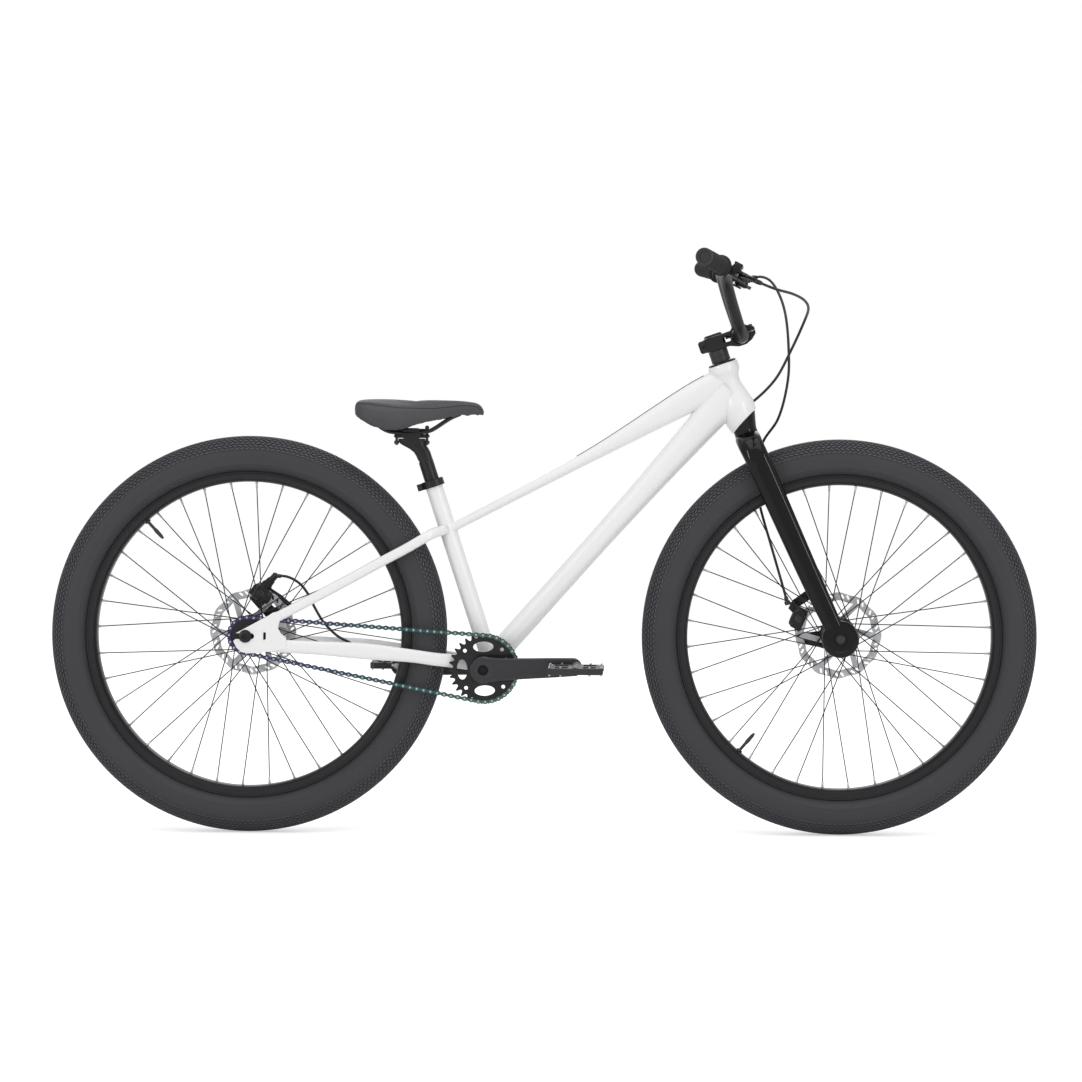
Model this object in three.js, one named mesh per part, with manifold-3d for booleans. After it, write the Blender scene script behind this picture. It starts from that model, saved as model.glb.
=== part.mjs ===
// A dirt jump bike: rigid fork, one gear, two disc brakes, high-rise handlebar and a low saddle.
// Millimetres, +X forward, -Y the drive side, +Z up, origin on the ground midway between the wheels.
import * as THREE from "three";
import { mergeVertices } from "three/addons/utils/BufferGeometryUtils.js";
import Module from "manifold-3d";

const wasm = await Module();
wasm.setup();

// Layout of the bike
const wheelbase = 1083;
const tyre_radius = 363;
const chainstay_length = 437.2;
const bottom_bracket_drop = 58.5;
const head_tilt = 19.3;
const fork_length = 446.8;
const fork_offset = 40;
const head_tube_length = 97.3;
const seat_tube_tilt = 18.27;
const seat_tube_ahead = 12.6;
const seat_tube_length = 347;
const fit_gap = 0.3;
const running_gap = 0.6;
const cut_overrun = 5;

// Wheels
const tyre_width = 70;
const tyre_tread = 4.5;
const tyre_wall = 2.4;
const tyre_height = 72;
const rim_hook = 7;
const rim_bed_depth = 5;
const rim_depth = 12;
const bead_radius = tyre_radius - tyre_height;
const flange_radius = bead_radius + rim_hook;
const rim_floor_radius = bead_radius - rim_bed_depth;
const rim_inner_radius = bead_radius - rim_depth;
const rim_width = 40;
const rim_wall = 3;
const rim_bed_width = 16;
const spoke_width = 2.2;
const spoke_pairs = 9;
const spoke_crossings = 3;
const valve_width = 6;
const valve_reach = 46;
const valve_cap_length = 14;
const rotor_radius = 80;
const rotor_thickness = 1.9;
const rotor_band = 15;
const rotor_arms = 6;
const rotor_arm_width = 8;
const rotor_centre_radius = 27;
const front_hub_width = 110;
const rear_hub_width = 135;
const hub_shell_radius = 17;
const hub_flange_radius = 33;
const hub_flange_thickness = 4;
const hub_waist_radius = 15;
const front_flange_spread = 52;
const rear_flange_spread = 56;
const front_rotor_side = 40;
const rear_rotor_side = 52;
const rear_axle_radius = 5;
const front_axle_radius = 7.5;
const front_valve_angle = 229;
const rear_valve_angle = 132.7;

// Drive
const chain_pitch = 12.7;
const chainring_teeth = 30;
const cog_teeth = 16;
const chain_side = 47;
const chainring_thickness = 2.6;
const tooth_height = 4;
const tooth_depth = 4.2;
const roller_width = 7.6;
const chain_plate_height = 8.6;
const chain_plate_thickness = 1.2;
const chain_inner_width = 3.6;
const crank_length = 170;
const crank_rise = 2.2;
const crank_outer_side = 85;
const crank_thickness = 17;
const crank_boss_radius = 23.8;
const crank_mid_height = 39;
const crank_tip_height = 33;
const spindle_radius = 12;
const spindle_bore_radius = 9;
const pedal_length = 100;
const pedal_width = 104;
const pedal_height = 17;
const pedal_bar = 11;
const pedal_axle_radius = 6;

// Frame tubes
const head_collar_radius = 28;
const head_collar_height = 14;
const head_waist_radius = 21;
const head_waist_depth = 33;
const head_bell_radius = 32.2;
const head_bell_depth = 79;
const head_skirt_length = 29;
const head_skirt_radius = 24.6;
const head_skirt_wall = 1.8;
const head_bore_radius = 18.2;
const upper_seat_radius = 21;
const lower_seat_radius = 26;
const bearing_height = 8;
const seat_tube_radius = 15.9;
const seat_tube_bore_radius = 13.9;
const seatpost_radius = 13.6;
const seat_clamp_height = 14;
const seat_clamp_lip = 2;
const seat_clamp_radius = 20.5;
const bracket_shell_radius = 24;
const bracket_shell_width = 73;
const bracket_cup_radius = 22.5;
const bracket_sleeve_radius = 14;
const bracket_cup_width = 8;
const bracket_bore_radius = 21.5;
const tube_wall = 2;
const dropout_thickness = 6.5;

// Steering parts
const steerer_radius = 14.3;
const steerer_base_radius = 17;
const fork_foot_side = 63.4;
const crown_thickness = 27;
const crown_depth = 46;
// One half of the fork from the middle of its crown to a foot, as shares of the fork's length below the head tube,
// its offset, the side of its foot, and the thickness and depth of its crown
const fork_way_shares = [
  [0.1045, 0, 0, 1, 1], [0.1112, 0, 0.347, 1, 1], [0.1381, 0.025, 0.694, 1, 0.9891],
  [0.1806, 0.08, 0.836, 1, 0.9674], [0.2399, 0.1475, 0.8596, 0.963, 0.9565],
  [0.7827, 0.6875, 0.97, 0.6667, 0.8043], [0.9461, 0.8875, 1, 0.5778, 0.7174],
];
const fork_way = fork_way_shares.map(([down, ahead, side, thickness, depth]) => [
  head_tube_length + down * fork_length, ahead * fork_offset, side * fork_foot_side,
  thickness * crown_thickness, depth * crown_depth,
]);
const spacer_radius = 17.6;
const spacer_height = 27;
const top_cap_radius = 17;
const top_cap_height = 4;
const stem_height = 26;
const stem_reach = 49;
const stem_width = 40;
const bar_radius = 11.1;
const bar_centre_radius = 15.9;
const bar_half_width = 380;
const bar_rise = 131.2;
const bar_backsweep = 69.1;
// The handlebar from its middle to one end, as shares of its backsweep, half width, rise and growth in the middle
const bar_way_shares = [
  [0, 0, 0, 1], [0, 0.074, 0, 1], [0.014, 0.121, 0.023, 0.271], [0.087, 0.184, 0.145, 0],
  [0.289, 0.295, 0.473, 0], [0.427, 0.395, 0.732, 0], [0.478, 0.474, 0.842, 0], [0.495, 0.547, 0.877, 0],
  [0.512, 0.626, 0.9, 0], [0.56, 0.663, 0.91, 0], [1, 1, 1, 0],
];
const bar_way = bar_way_shares.map(([back, out, up, growth]) => [
  back * bar_backsweep, out * bar_half_width, up * bar_rise, bar_radius + growth * (bar_centre_radius - bar_radius),
]);
const grip_radius = 15.5;
const grip_length = 132;
const grip_flange_radius = 19;
const hose_radius = 2.5;

// Saddle
const saddle_length = 238;
const saddle_width = 138;
const saddle_height = 60;
const rail_radius = 3.5;
const rail_spread = 44;

// Facets
const wheel_sides = 22;
const round_sides = 12;
const stay_sides = 10;
const rod_sides = 8;
const spoke_sides = 3;

// Finishes
const finish = (color, roughness, metalness) => new THREE.MeshStandardMaterial({ color, roughness, metalness });
const white_paint = finish(0xf4f4f4, 0.25, 0);
const black_paint = finish(0x17171a, 0.25, 0.1);
const black_anodised = finish(0x222226, 0.45, 0.6);
const rubber = finish(0x26262b, 0.9, 0);
const steel = finish(0x8a8c92, 0.35, 1);
const chain_steel = finish(0x4c6a78, 0.3, 1);
const cover = finish(0x2b2b30, 0.7, 0);

// A closed surface from a geometry, with its faces turned outwards.
const weld_distance = 1e-3;

function solid(geometry) {
  const loose = geometry.index ? geometry.toNonIndexed() : geometry;
  const bare = new THREE.BufferGeometry().setAttribute("position", loose.getAttribute("position"));
  const welded = mergeVertices(bare, weld_distance);
  const triangles = new Uint32Array(welded.index.array);
  const build = () => {
    const vertProperties = welded.attributes.position.array;
    return new wasm.Manifold(new wasm.Mesh({ numProp: 3, vertProperties, triVerts: triangles }));
  };
  const made = build();
  if (made.volume() > 0) return made;
  for (let i = 0; i < triangles.length; i += 3) {
    [triangles[i + 1], triangles[i + 2]] = [triangles[i + 2], triangles[i + 1]];
  }
  return build();
}

function geometryOf(made) {
  const mesh = made.getMesh();
  return new THREE.BufferGeometry()
    .setAttribute("position", new THREE.BufferAttribute(new Float32Array(mesh.vertProperties), 3))
    .setIndex(new THREE.BufferAttribute(new Uint32Array(mesh.triVerts), 1));
}

// A named piece in its group.
function piece(group, name, made, material) {
  const geometry = geometryOf(made).toNonIndexed();
  geometry.computeVertexNormals();
  const mesh = new THREE.Mesh(geometry, material);
  mesh.name = name;
  group.add(mesh);
  return mesh;
}

const vec = (x, y, z) => new THREE.Vector3(x, y, z);
const radians = THREE.MathUtils.degToRad;
const across_axis = vec(0, 1, 0);
const up_axis = vec(0, 0, 1);
const forward_axis = vec(1, 0, 0);

// A solid moved by a rotation about an axis, then a shift.
function placed(made, shift, axis = up_axis, degrees = 0) {
  const matrix = new THREE.Matrix4().makeRotationAxis(axis, radians(degrees)).setPosition(shift);
  return made.transform(matrix.elements);
}

// A solid made along +Z, laid along another direction.
function along(made, direction, from) {
  const turn = new THREE.Quaternion().setFromUnitVectors(up_axis, direction.clone().normalize());
  return made.transform(new THREE.Matrix4().makeRotationFromQuaternion(turn).setPosition(from).elements);
}

// Rings of points joined into one skin and capped at both ends.
function loft(rings) {
  const sides = rings[0].length;
  const points = rings.flat();
  const index = [];
  for (let r = 0; r + 1 < rings.length; r++) {
    for (let s = 0; s < sides; s++) {
      const a = r * sides + s;
      const b = r * sides + ((s + 1) % sides);
      index.push(a, b, a + sides, b, b + sides, a + sides);
    }
  }
  const last = points.length - sides;
  for (let s = 1; s + 1 < sides; s++) {
    index.push(0, s + 1, s);
    index.push(last, last + s, last + s + 1);
  }
  return solid(new THREE.BufferGeometry().setFromPoints(points).setIndex(index));
}

// An oval ring about a point, square to a direction, wide along the given side.
function ovalRing(at, direction, side, width, height, sides) {
  const tangent = direction.clone().normalize();
  const broad = side.clone().addScaledVector(tangent, -side.dot(tangent)).normalize();
  const tall = tangent.clone().cross(broad);
  return Array.from({ length: sides }, (unused, i) => {
    const turn = (2 * Math.PI * (i + 1 / 2)) / sides;
    const offset = broad.clone().multiplyScalar((Math.cos(turn) * width) / 2);
    return at.clone().add(offset).addScaledVector(tall, (Math.sin(turn) * height) / 2);
  });
}

// A smooth oval tube through stations of [point, width, height].
function ovalTube(stations, steps, side = across_axis, sides = round_sides, grow = 0) {
  const route = new THREE.CatmullRomCurve3(stations.map((s) => s[0]), false, "centripetal");
  const sizes = new THREE.CatmullRomCurve3(stations.map((s) => vec(s[1], s[2], 0)), false, "centripetal");
  const rings = Array.from({ length: steps + 1 }, (unused, i) => {
    const size = sizes.getPoint(i / steps);
    return ovalRing(route.getPoint(i / steps), route.getTangent(i / steps), side,
      size.x + 2 * grow, size.y + 2 * grow, sides);
  });
  return loft(rings);
}

// A turned piece about +Z from [radius, height] points; a bored one closes on itself.
function turned(profile, sides = round_sides) {
  const closed = profile.every((p) => p[0] > 0) ? [...profile, profile[0]] : profile;
  const lathe = new THREE.LatheGeometry(closed.map((p) => new THREE.Vector2(p[0], p[1])), sides);
  return solid(lathe.rotateX(Math.PI / 2));
}

function rod(radius, from, to, sides = rod_sides) {
  const way = to.clone().sub(from);
  return along(turned([[0, 0], [radius, 0], [radius, way.length()], [0, way.length()]], sides), way, from);
}

// The corners of a faceted hole stand outside its true circle, so that a round piece of that radius passes.
const holeRadius = (radius, sides = round_sides) => radius / Math.cos(Math.PI / sides);

function tubeOf(radius, bore, from, to, sides = round_sides) {
  const way = to.clone().sub(from);
  const length = way.length();
  const hole = holeRadius(bore, sides);
  return along(turned([[hole, 0], [radius, 0], [radius, length], [hole, length]], sides), way, from);
}

// A box centred on a point, turned in the plane of the wheels.
function block(centre, size, degrees = 0) {
  return placed(solid(new THREE.BoxGeometry(size.x, size.y, size.z)), centre, across_axis, degrees);
}

// A flat plate with its outline in the plane of the wheels, from the side y0 to the side y1.
function plate(outline, y0, y1, holes = []) {
  const shape = new THREE.Shape(outline.map((p) => new THREE.Vector2(p[0], p[1])));
  shape.holes = holes.map((hole) => new THREE.Path(hole.map((p) => new THREE.Vector2(p[0], p[1]))));
  const depth = Math.abs(y1 - y0);
  const flat = new THREE.ExtrudeGeometry(shape, { depth, bevelEnabled: false });
  return placed(solid(flat.rotateX(Math.PI / 2)), vec(0, Math.max(y0, y1), 0));
}

function circle(x, z, radius, sides = round_sides) {
  return Array.from({ length: sides }, (unused, i) => {
    const turn = (2 * Math.PI * (i + 1 / 2)) / sides;
    return [x + radius * Math.cos(turn), z + radius * Math.sin(turn)];
  });
}

const hole = (x, z, radius, sides = round_sides) => circle(x, z, holeRadius(radius, sides), sides);

const union = (parts) => wasm.Manifold.union(parts);

// The frame's pieces lie in this group, and the pieces that move with each other in groups inside it.
const bike = new THREE.Group();

// Key points
const rear_axle_at = vec(-wheelbase / 2, 0, tyre_radius);
const front_axle_at = vec(wheelbase / 2, 0, tyre_radius);
const bracket_at = vec(
  rear_axle_at.x + Math.sqrt(chainstay_length ** 2 - bottom_bracket_drop ** 2),
  0,
  tyre_radius - bottom_bracket_drop,
);
const head_down = vec(Math.sin(radians(head_tilt)), 0, -Math.cos(radians(head_tilt)));
const head_ahead = vec(Math.cos(radians(head_tilt)), 0, Math.sin(radians(head_tilt)));
const head_top = front_axle_at.clone()
  .addScaledVector(head_ahead, -fork_offset)
  .addScaledVector(head_down, -(fork_length + head_tube_length));
// A point of the steering frame: down the steering axis from the top of the head tube, ahead of it, and to a side.
const headPoint = (down, ahead = 0, side = 0) => head_top.clone()
  .addScaledVector(head_down, down)
  .addScaledVector(head_ahead, ahead)
  .add(vec(0, side, 0));
const seat_up = vec(-Math.sin(radians(seat_tube_tilt)), 0, Math.cos(radians(seat_tube_tilt)));
const seat_foot = bracket_at.clone().add(vec(seat_tube_ahead, 0, 0));
const seatPoint = (up, ahead = 0, side = 0) => seat_foot.clone()
  .addScaledVector(seat_up, up)
  .add(vec(ahead * Math.cos(radians(seat_tube_tilt)), side, ahead * Math.sin(radians(seat_tube_tilt))));

// Wheels. The section tables give [share of the height from bead to crown, share of the half width].
const tyre_outer_shares = [[0.15, 0.75], [0.5, 1], [0.87, 0.8], [1, 0.36]];
const tyre_inner_shares = [[0.15, 0.45], [0.5, 1], [0.97, 0.5]];
const rim_shoulder_share = 0.45;
const tube_foot_share = 0.6;
const nipple_side = 4;
const spoke_lap_share = 0.6;
const hub_end_radius = 11.4;
const driver_length = 34;
const rotor_boss_radius = 16;
const rotor_boss_width = 5;
const rotor_hub_gap = 5;

// A half section and its mirror image; a point on the middle plane is kept once.
const mirrored = (half) => [...half.map(([r, y]) => [r, -y]), ...half.filter(([, y]) => y > 0).reverse()];

// The wheel's pieces turn about the Y axis.
const wheelTurned = (profile, sides = wheel_sides) => along(turned(profile, sides), across_axis, vec(0, 0, 0));

function tyreSection() {
  const outer = tyre_outer_shares.map(([up, out]) => [
    bead_radius + up * (tyre_radius - bead_radius),
    (out * tyre_width) / 2,
  ]);
  const bead_side = rim_width / 2 - rim_wall - fit_gap;
  const bead = [[bead_radius, bead_side], [flange_radius + fit_gap, bead_side]];
  const toe = [bead_radius, bead_side - tyre_wall];
  const hollow = cavity(0);
  const heel = [[toe[0], -toe[1]], ...hollow, toe];
  return [...mirrored([...bead, ...outer]), ...heel.reverse()];
}

// The hollow of the tyre, drawn in by a clearance; it holds the inner tube.
function cavity(inset) {
  const crown = tyre_radius - tyre_tread - inset;
  const half = tyre_inner_shares.map(([up, out]) => [
    bead_radius + up * (crown - bead_radius),
    out * (tyre_width / 2 - tyre_wall - inset),
  ]);
  return mirrored(half);
}

function rimSection() {
  const half_width = rim_width / 2;
  return mirrored([
    [rim_inner_radius, half_width * tube_foot_share],
    [rim_inner_radius + rim_shoulder_share * (flange_radius - rim_inner_radius), half_width],
    [flange_radius, half_width],
    [flange_radius, half_width - rim_wall],
    [bead_radius - fit_gap, half_width - rim_wall],
    [rim_floor_radius, rim_bed_width / 2],
  ]);
}

const polar = (radius, degrees, side = 0) => vec(
  radius * Math.cos(radians(degrees)), side, radius * Math.sin(radians(degrees)),
);

// The inner face of the faceted rim is nearest to the axle at the middle of each flat.
const rim_flat_radius = rim_inner_radius * Math.cos(Math.PI / wheel_sides);

// Half of the spokes pull forwards and half backwards; one half lies on the other, so they touch where they cross.
function spokeNet(side, spread, phase) {
  const pitch = 360 / (2 * spoke_pairs);
  const hub_radius = hub_flange_radius + fit_gap + spoke_width / 2;
  const nets = [];
  for (let i = 0; i < 2 * spoke_pairs; i++) {
    const lean = i % 2 ? 1 : -1;
    const rim_angle = phase + i * pitch;
    const lap = i % 2 ? spoke_width * spoke_lap_share : 0;
    const inner = polar(hub_radius, rim_angle + lean * spoke_crossings * pitch, (side * spread) / 2 + lap);
    const outer = polar(rim_flat_radius - running_gap, rim_angle, side * nipple_side + lap);
    const way = outer.clone().sub(inner);
    const ring = (at) => ovalRing(at, way, across_axis, spoke_width, spoke_width, spoke_sides);
    nets.push(loft([ring(inner), ring(outer)]));
  }
  return union(nets);
}

function hub(width, spread, rotor_side, axle, driver) {
  const end = width / 2 - fit_gap;
  const flange = spread / 2;
  const half_flange = hub_flange_thickness / 2;
  const bore = holeRadius(axle + fit_gap);
  return wheelTurned([
    [bore, driver - end],
    [hub_end_radius, driver - end],
    [hub_end_radius, -flange - hub_flange_thickness],
    [hub_flange_radius, -flange - half_flange],
    [hub_flange_radius, -flange + half_flange],
    [hub_waist_radius, -flange + 2 * hub_flange_thickness],
    [hub_waist_radius, flange - 2 * hub_flange_thickness],
    [hub_flange_radius, flange - half_flange],
    [hub_flange_radius, flange + half_flange],
    [rotor_boss_radius, flange + hub_flange_thickness],
    [rotor_boss_radius, rotor_side + rotor_boss_width / 2],
    [hub_end_radius, rotor_side + rotor_boss_width / 2],
    [hub_end_radius, end],
    [bore, end],
  ], round_sides);
}

function rotor(side) {
  const bore = rotor_boss_radius + fit_gap;
  const band = rotor_radius - rotor_band;
  const pitch = 360 / rotor_arms;
  const window = (k) => {
    const half_arm = (radius) => THREE.MathUtils.radToDeg(rotor_arm_width / 2 / radius);
    const arc = (radius, steps, turns) => Array.from({ length: steps + 1 }, (unused, i) => {
      const from = (k + turns) * pitch + half_arm(radius);
      const to = (k + 1 + turns) * pitch - half_arm(radius);
      const p = polar(radius, from + ((to - from) * i) / steps);
      return [p.x, p.z];
    });
    return [...arc(band, 4, 0), ...arc(rotor_centre_radius, 2, rotor_sweep_share).reverse()];
  };
  const windows = Array.from({ length: rotor_arms }, (unused, k) => window(k));
  const half = rotor_thickness / 2;
  return plate(circle(0, 0, rotor_radius, wheel_sides), side - half, side + half,
    [hole(0, 0, bore), ...windows]);
}
const rotor_sweep_share = 0.35;

function buildWheel(name, at, width, spread, rotor_side, axle, valve_angle, driver) {
  const wheel = new THREE.Group();
  wheel.position.copy(at);
  bike.add(wheel);
  const rim_pitch = 360 / (4 * spoke_pairs);
  const valve_end = rim_inner_radius - valve_reach;
  const valve_root = cavity(0)[0][0] + tyre_wall;
  const valve = union([
    rod(valve_width / 2, polar(valve_end, valve_angle), polar(valve_root, valve_angle)),
    rod(valve_width / 2 + fit_gap, polar(valve_end, valve_angle), polar(valve_end + valve_cap_length, valve_angle)),
  ]);
  const valve_hole = rod(valve_width / 2 + 2 * fit_gap,
    polar(rim_inner_radius - cut_overrun, valve_angle), polar(bead_radius, valve_angle));
  piece(wheel, `${name}_tyre`, wheelTurned(tyreSection()), rubber);
  piece(wheel, `${name}_inner_tube`, wheelTurned(cavity(2 * fit_gap)).add(valve), rubber);
  piece(wheel, `${name}_rim`, wheelTurned(rimSection()).subtract(valve_hole), black_anodised);
  piece(wheel, `${name}_spokes_left`, spokeNet(1, spread, valve_angle + rim_pitch / 2), steel);
  piece(wheel, `${name}_spokes_right`, spokeNet(-1, spread, valve_angle - rim_pitch / 2), steel);
  piece(wheel, `${name}_hub`, hub(width, spread, rotor_side, axle, driver), black_anodised);
  piece(wheel, `${name}_rotor`, rotor(rotor_side), steel);
}

buildWheel("front", front_axle_at, front_hub_width, front_flange_spread, front_rotor_side,
  front_axle_radius, front_valve_angle, 0);
buildWheel("rear", rear_axle_at, rear_hub_width, rear_flange_spread, rear_rotor_side,
  rear_axle_radius, rear_valve_angle, driver_length);

// Drive. A toothed ring has three points to a tooth.
const tooth_root_share = 0.3;
const window_spread = 40;
const window_length = 37;
const window_height = 19;
const collar_radius = 20;
const cog_bore_radius = holeRadius(hub_end_radius + fit_gap);
const cog_collar_radius = 20;
const cog_collar_width = 9;

const pitchRadius = (teeth) => chain_pitch / (2 * Math.sin(Math.PI / teeth));

function toothedOutline(teeth) {
  const root = pitchRadius(teeth) - tooth_depth;
  const tip = pitchRadius(teeth) + tooth_height;
  const step = 360 / teeth;
  return Array.from({ length: teeth }, (unused, i) => [
    polar(root, (i - tooth_root_share) * step),
    polar(tip, i * step),
    polar(root, (i + tooth_root_share) * step),
  ]).flat().map((p) => [p.x, p.z]);
}

// An oval window in the chainring, long across its spoke of the star.
function ovalWindow(degrees, sides = stay_sides) {
  return Array.from({ length: sides }, (unused, i) => {
    const turn = (2 * Math.PI * i) / sides;
    const along_way = window_spread + (Math.cos(turn) * window_height) / 2;
    const across_way = (Math.sin(turn) * window_length) / 2;
    const out = polar(along_way, degrees).add(polar(across_way, degrees + 90));
    return [out.x, out.z];
  });
}

// Chainring and cog turn on their own; the crank group holds the arms and the chainring.
const crank_arm_inner_side = crank_outer_side - crank_thickness;
const crank_boss_turn = 15;
const crank_boss_steps = 8;
const crank_tip_steps = 6;
const arm_root_share = 0.25;
const arm_tip_share = 0.96;

const crank = new THREE.Group();
crank.position.copy(bracket_at);
crank.rotation.y = -radians(crank_rise);
bike.add(crank);

// The outline of a crank arm that points forwards from its axle to its pedal.
function armOutline() {
  const mid = crank_mid_height / 2;
  const tip = crank_tip_height / 2;
  const round = (x, radius, from, to, steps) => Array.from({ length: steps + 1 }, (unused, i) => {
    const p = polar(radius, from + ((to - from) * i) / steps);
    return [x + p.x, p.z];
  });
  return [
    ...round(0, crank_boss_radius, 90 - crank_boss_turn, 270 + crank_boss_turn, crank_boss_steps),
    [crank_length * arm_root_share, -mid],
    ...round(crank_length * arm_tip_share, tip, -90, 90, crank_tip_steps),
    [crank_length * arm_root_share, mid],
  ];
}

const spindle_end = crank_arm_inner_side;
const spindle = tubeOf(spindle_radius, spindle_bore_radius,
  vec(0, -crank_outer_side, 0), vec(0, spindle_end - fit_gap, 0));
const spindle_hole = rod(spindle_bore_radius, vec(0, -crank_outer_side - cut_overrun, 0),
  vec(0, -crank_arm_inner_side + cut_overrun, 0), round_sides);
const pedalHole = (y0, y1) => rod(holeRadius(pedal_axle_radius + fit_gap, stay_sides),
  vec(crank_length, y0, 0), vec(crank_length, y1, 0), stay_sides);
const right_arm = plate(armOutline(), -crank_outer_side, -crank_arm_inner_side)
  .subtract(spindle_hole)
  .add(spindle);
piece(crank, "crank_arm_right",
  right_arm.subtract(pedalHole(-crank_outer_side - cut_overrun, -crank_arm_inner_side + cut_overrun)), black_anodised);
const left_arm = placed(plate(armOutline(), -crank_outer_side, -crank_arm_inner_side), vec(0, 0, 0), up_axis, 180);
const left_pedal_hole = placed(
  pedalHole(-crank_outer_side - cut_overrun, -crank_arm_inner_side + cut_overrun), vec(0, 0, 0), up_axis, 180);
piece(crank, "crank_arm_left", left_arm.subtract(left_pedal_hole), black_anodised);

const ring_centre_hole = hole(0, 0, (spindle_radius + collar_radius) / 2);
const ring_plate = plate(toothedOutline(chainring_teeth),
  -chain_side - chainring_thickness / 2, -chain_side + chainring_thickness / 2,
  [ring_centre_hole, ...[0, 90, 180, 270].map((turn) => ovalWindow(turn))]);
const ring_collar = tubeOf(collar_radius, spindle_radius + fit_gap,
  vec(0, -crank_arm_inner_side + fit_gap, 0), vec(0, -chain_side + chainring_thickness / 2, 0));
piece(crank, "chainring", ring_plate.add(ring_collar), black_anodised);

const cog = new THREE.Group();
cog.position.copy(rear_axle_at);
bike.add(cog);
const cog_plate = plate(toothedOutline(cog_teeth),
  -chain_side - chainring_thickness / 2, -chain_side + chainring_thickness / 2,
  [hole(0, 0, (cog_bore_radius + cog_collar_radius) / 2)]);
const cog_collar = tubeOf(cog_collar_radius, cog_bore_radius,
  vec(0, -chain_side - cog_collar_width / 2, 0), vec(0, -chain_side + cog_collar_width / 2, 0));
piece(cog, "rear_cog", cog_plate.add(cog_collar), steel);

// The driver carries the cog and turns with it, next to the hub's shell.
const driver_end = rear_hub_width / 2 - fit_gap;
piece(cog, "rear_driver", tubeOf(hub_end_radius, rear_axle_radius + fit_gap,
  vec(0, -driver_end, 0), vec(0, driver_length - driver_end - fit_gap, 0)), black_anodised);

// The chain: two plate bands round both sprockets, joined by pins where the runs are straight.
const pin_stride = 4;
const pin_sides = 4;
const wrap_steps = 10;

function chainLoop(offset) {
  const span = rear_axle_at.clone().sub(bracket_at);
  const bearing = THREE.MathUtils.radToDeg(Math.atan2(span.z, span.x));
  const big = pitchRadius(chainring_teeth);
  const small = pitchRadius(cog_teeth);
  const open = THREE.MathUtils.radToDeg(Math.acos((big - small) / span.length()));
  const arc = (centre, radius, from, to) => Array.from({ length: wrap_steps + 1 }, (unused, i) => {
    const p = polar(radius, from + ((to - from) * i) / wrap_steps).add(centre);
    return [p.x, p.z];
  });
  return {
    front: arc(bracket_at, big + offset, bearing + open, bearing + 360 - open),
    back: arc(rear_axle_at, small + offset, bearing - open, bearing + open),
  };
}

function buildChain() {
  const half_plate = chain_plate_height / 2;
  const outer = chainLoop(half_plate);
  const inner = chainLoop(-half_plate);
  const middle = chainLoop(0);
  const bands = [-1, 1].map((side) => plate([...outer.front, ...outer.back],
    -chain_side + (side * chain_inner_width) / 2,
    -chain_side + side * (chain_inner_width / 2 + chain_plate_thickness),
    [[...inner.front, ...inner.back]]));
  const runs = [
    [middle.front.at(-1), middle.back[0]],
    [middle.front[0], middle.back.at(-1)],
  ].map((run) => run.map(([x, z]) => vec(x, -chain_side, z)));
  // A pin stands clear of the tips of the teeth where the run meets each sprocket.
  const clearOf = (teeth) => {
    const tip = pitchRadius(teeth) + tooth_height + running_gap;
    return Math.sqrt(tip ** 2 - (pitchRadius(teeth) - roller_width / 2) ** 2) + roller_width / 2;
  };
  const pins = runs.flatMap(([from, to]) => {
    const way = to.clone().sub(from).normalize();
    const free = from.distanceTo(to) - clearOf(chainring_teeth) - clearOf(cog_teeth);
    const count = Math.floor(free / (pin_stride * chain_pitch)) + 1;
    return Array.from({ length: count }, (unused, i) => {
      const at = from.clone().addScaledVector(way, clearOf(chainring_teeth) + i * pin_stride * chain_pitch);
      const reach = vec(0, chain_inner_width / 2 + chain_plate_thickness / 2, 0);
      return rod(roller_width / 2, at.clone().sub(reach), at.clone().add(reach), pin_sides);
    });
  });
  return union([...bands, ...pins]);
}
piece(bike, "chain", buildChain(), chain_steel);

// Pedals: a cage with a spine round the axle, which screws into the crank arm.
const cage_shares = [[-1, -0.62], [-0.72, -1], [0.72, -1], [1, -0.62], [1, 0.62], [0.72, 1], [-0.72, 1], [-1, 0.62]];
const cage_bar_height_share = 0.62;
const pedal_gap = 3;

function buildPedal(name, side) {
  const pedal = new THREE.Group();
  const reach = polar(crank_length, side < 0 ? crank_rise : crank_rise + 180);
  pedal.position.copy(bracket_at.clone().add(reach));
  bike.add(pedal);
  const start = crank_outer_side + pedal_gap;
  const middle = start + pedal_width / 2;
  const height = pedal_height * cage_bar_height_share;
  const slab = (bar, depth) => {
    const shape = new THREE.Shape(cage_shares.map(([x, y]) => new THREE.Vector2(
      x * (pedal_length / 2 - bar), side * (middle + y * (pedal_width / 2 - bar)),
    )));
    const flat = new THREE.ExtrudeGeometry(shape, { depth, bevelEnabled: false });
    return placed(solid(flat), vec(0, 0, -depth / 2));
  };
  const frame_bars = slab(0, height).subtract(slab(pedal_bar, height + 2 * cut_overrun));
  const spine = rod(pedal_height / 2, vec(0, side * start, 0), vec(0, side * (start + pedal_width), 0), stay_sides);
  const rib = block(vec(0, side * middle, 0), vec(pedal_length - pedal_bar, pedal_bar, height));
  const axle = rod(pedal_axle_radius, vec(0, side * (crank_arm_inner_side + fit_gap), 0),
    vec(0, side * middle, 0), stay_sides);
  piece(pedal, name, union([frame_bars, spine, rib, axle]), black_anodised);
}
buildPedal("pedal_right", -1);
buildPedal("pedal_left", 1);

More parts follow.
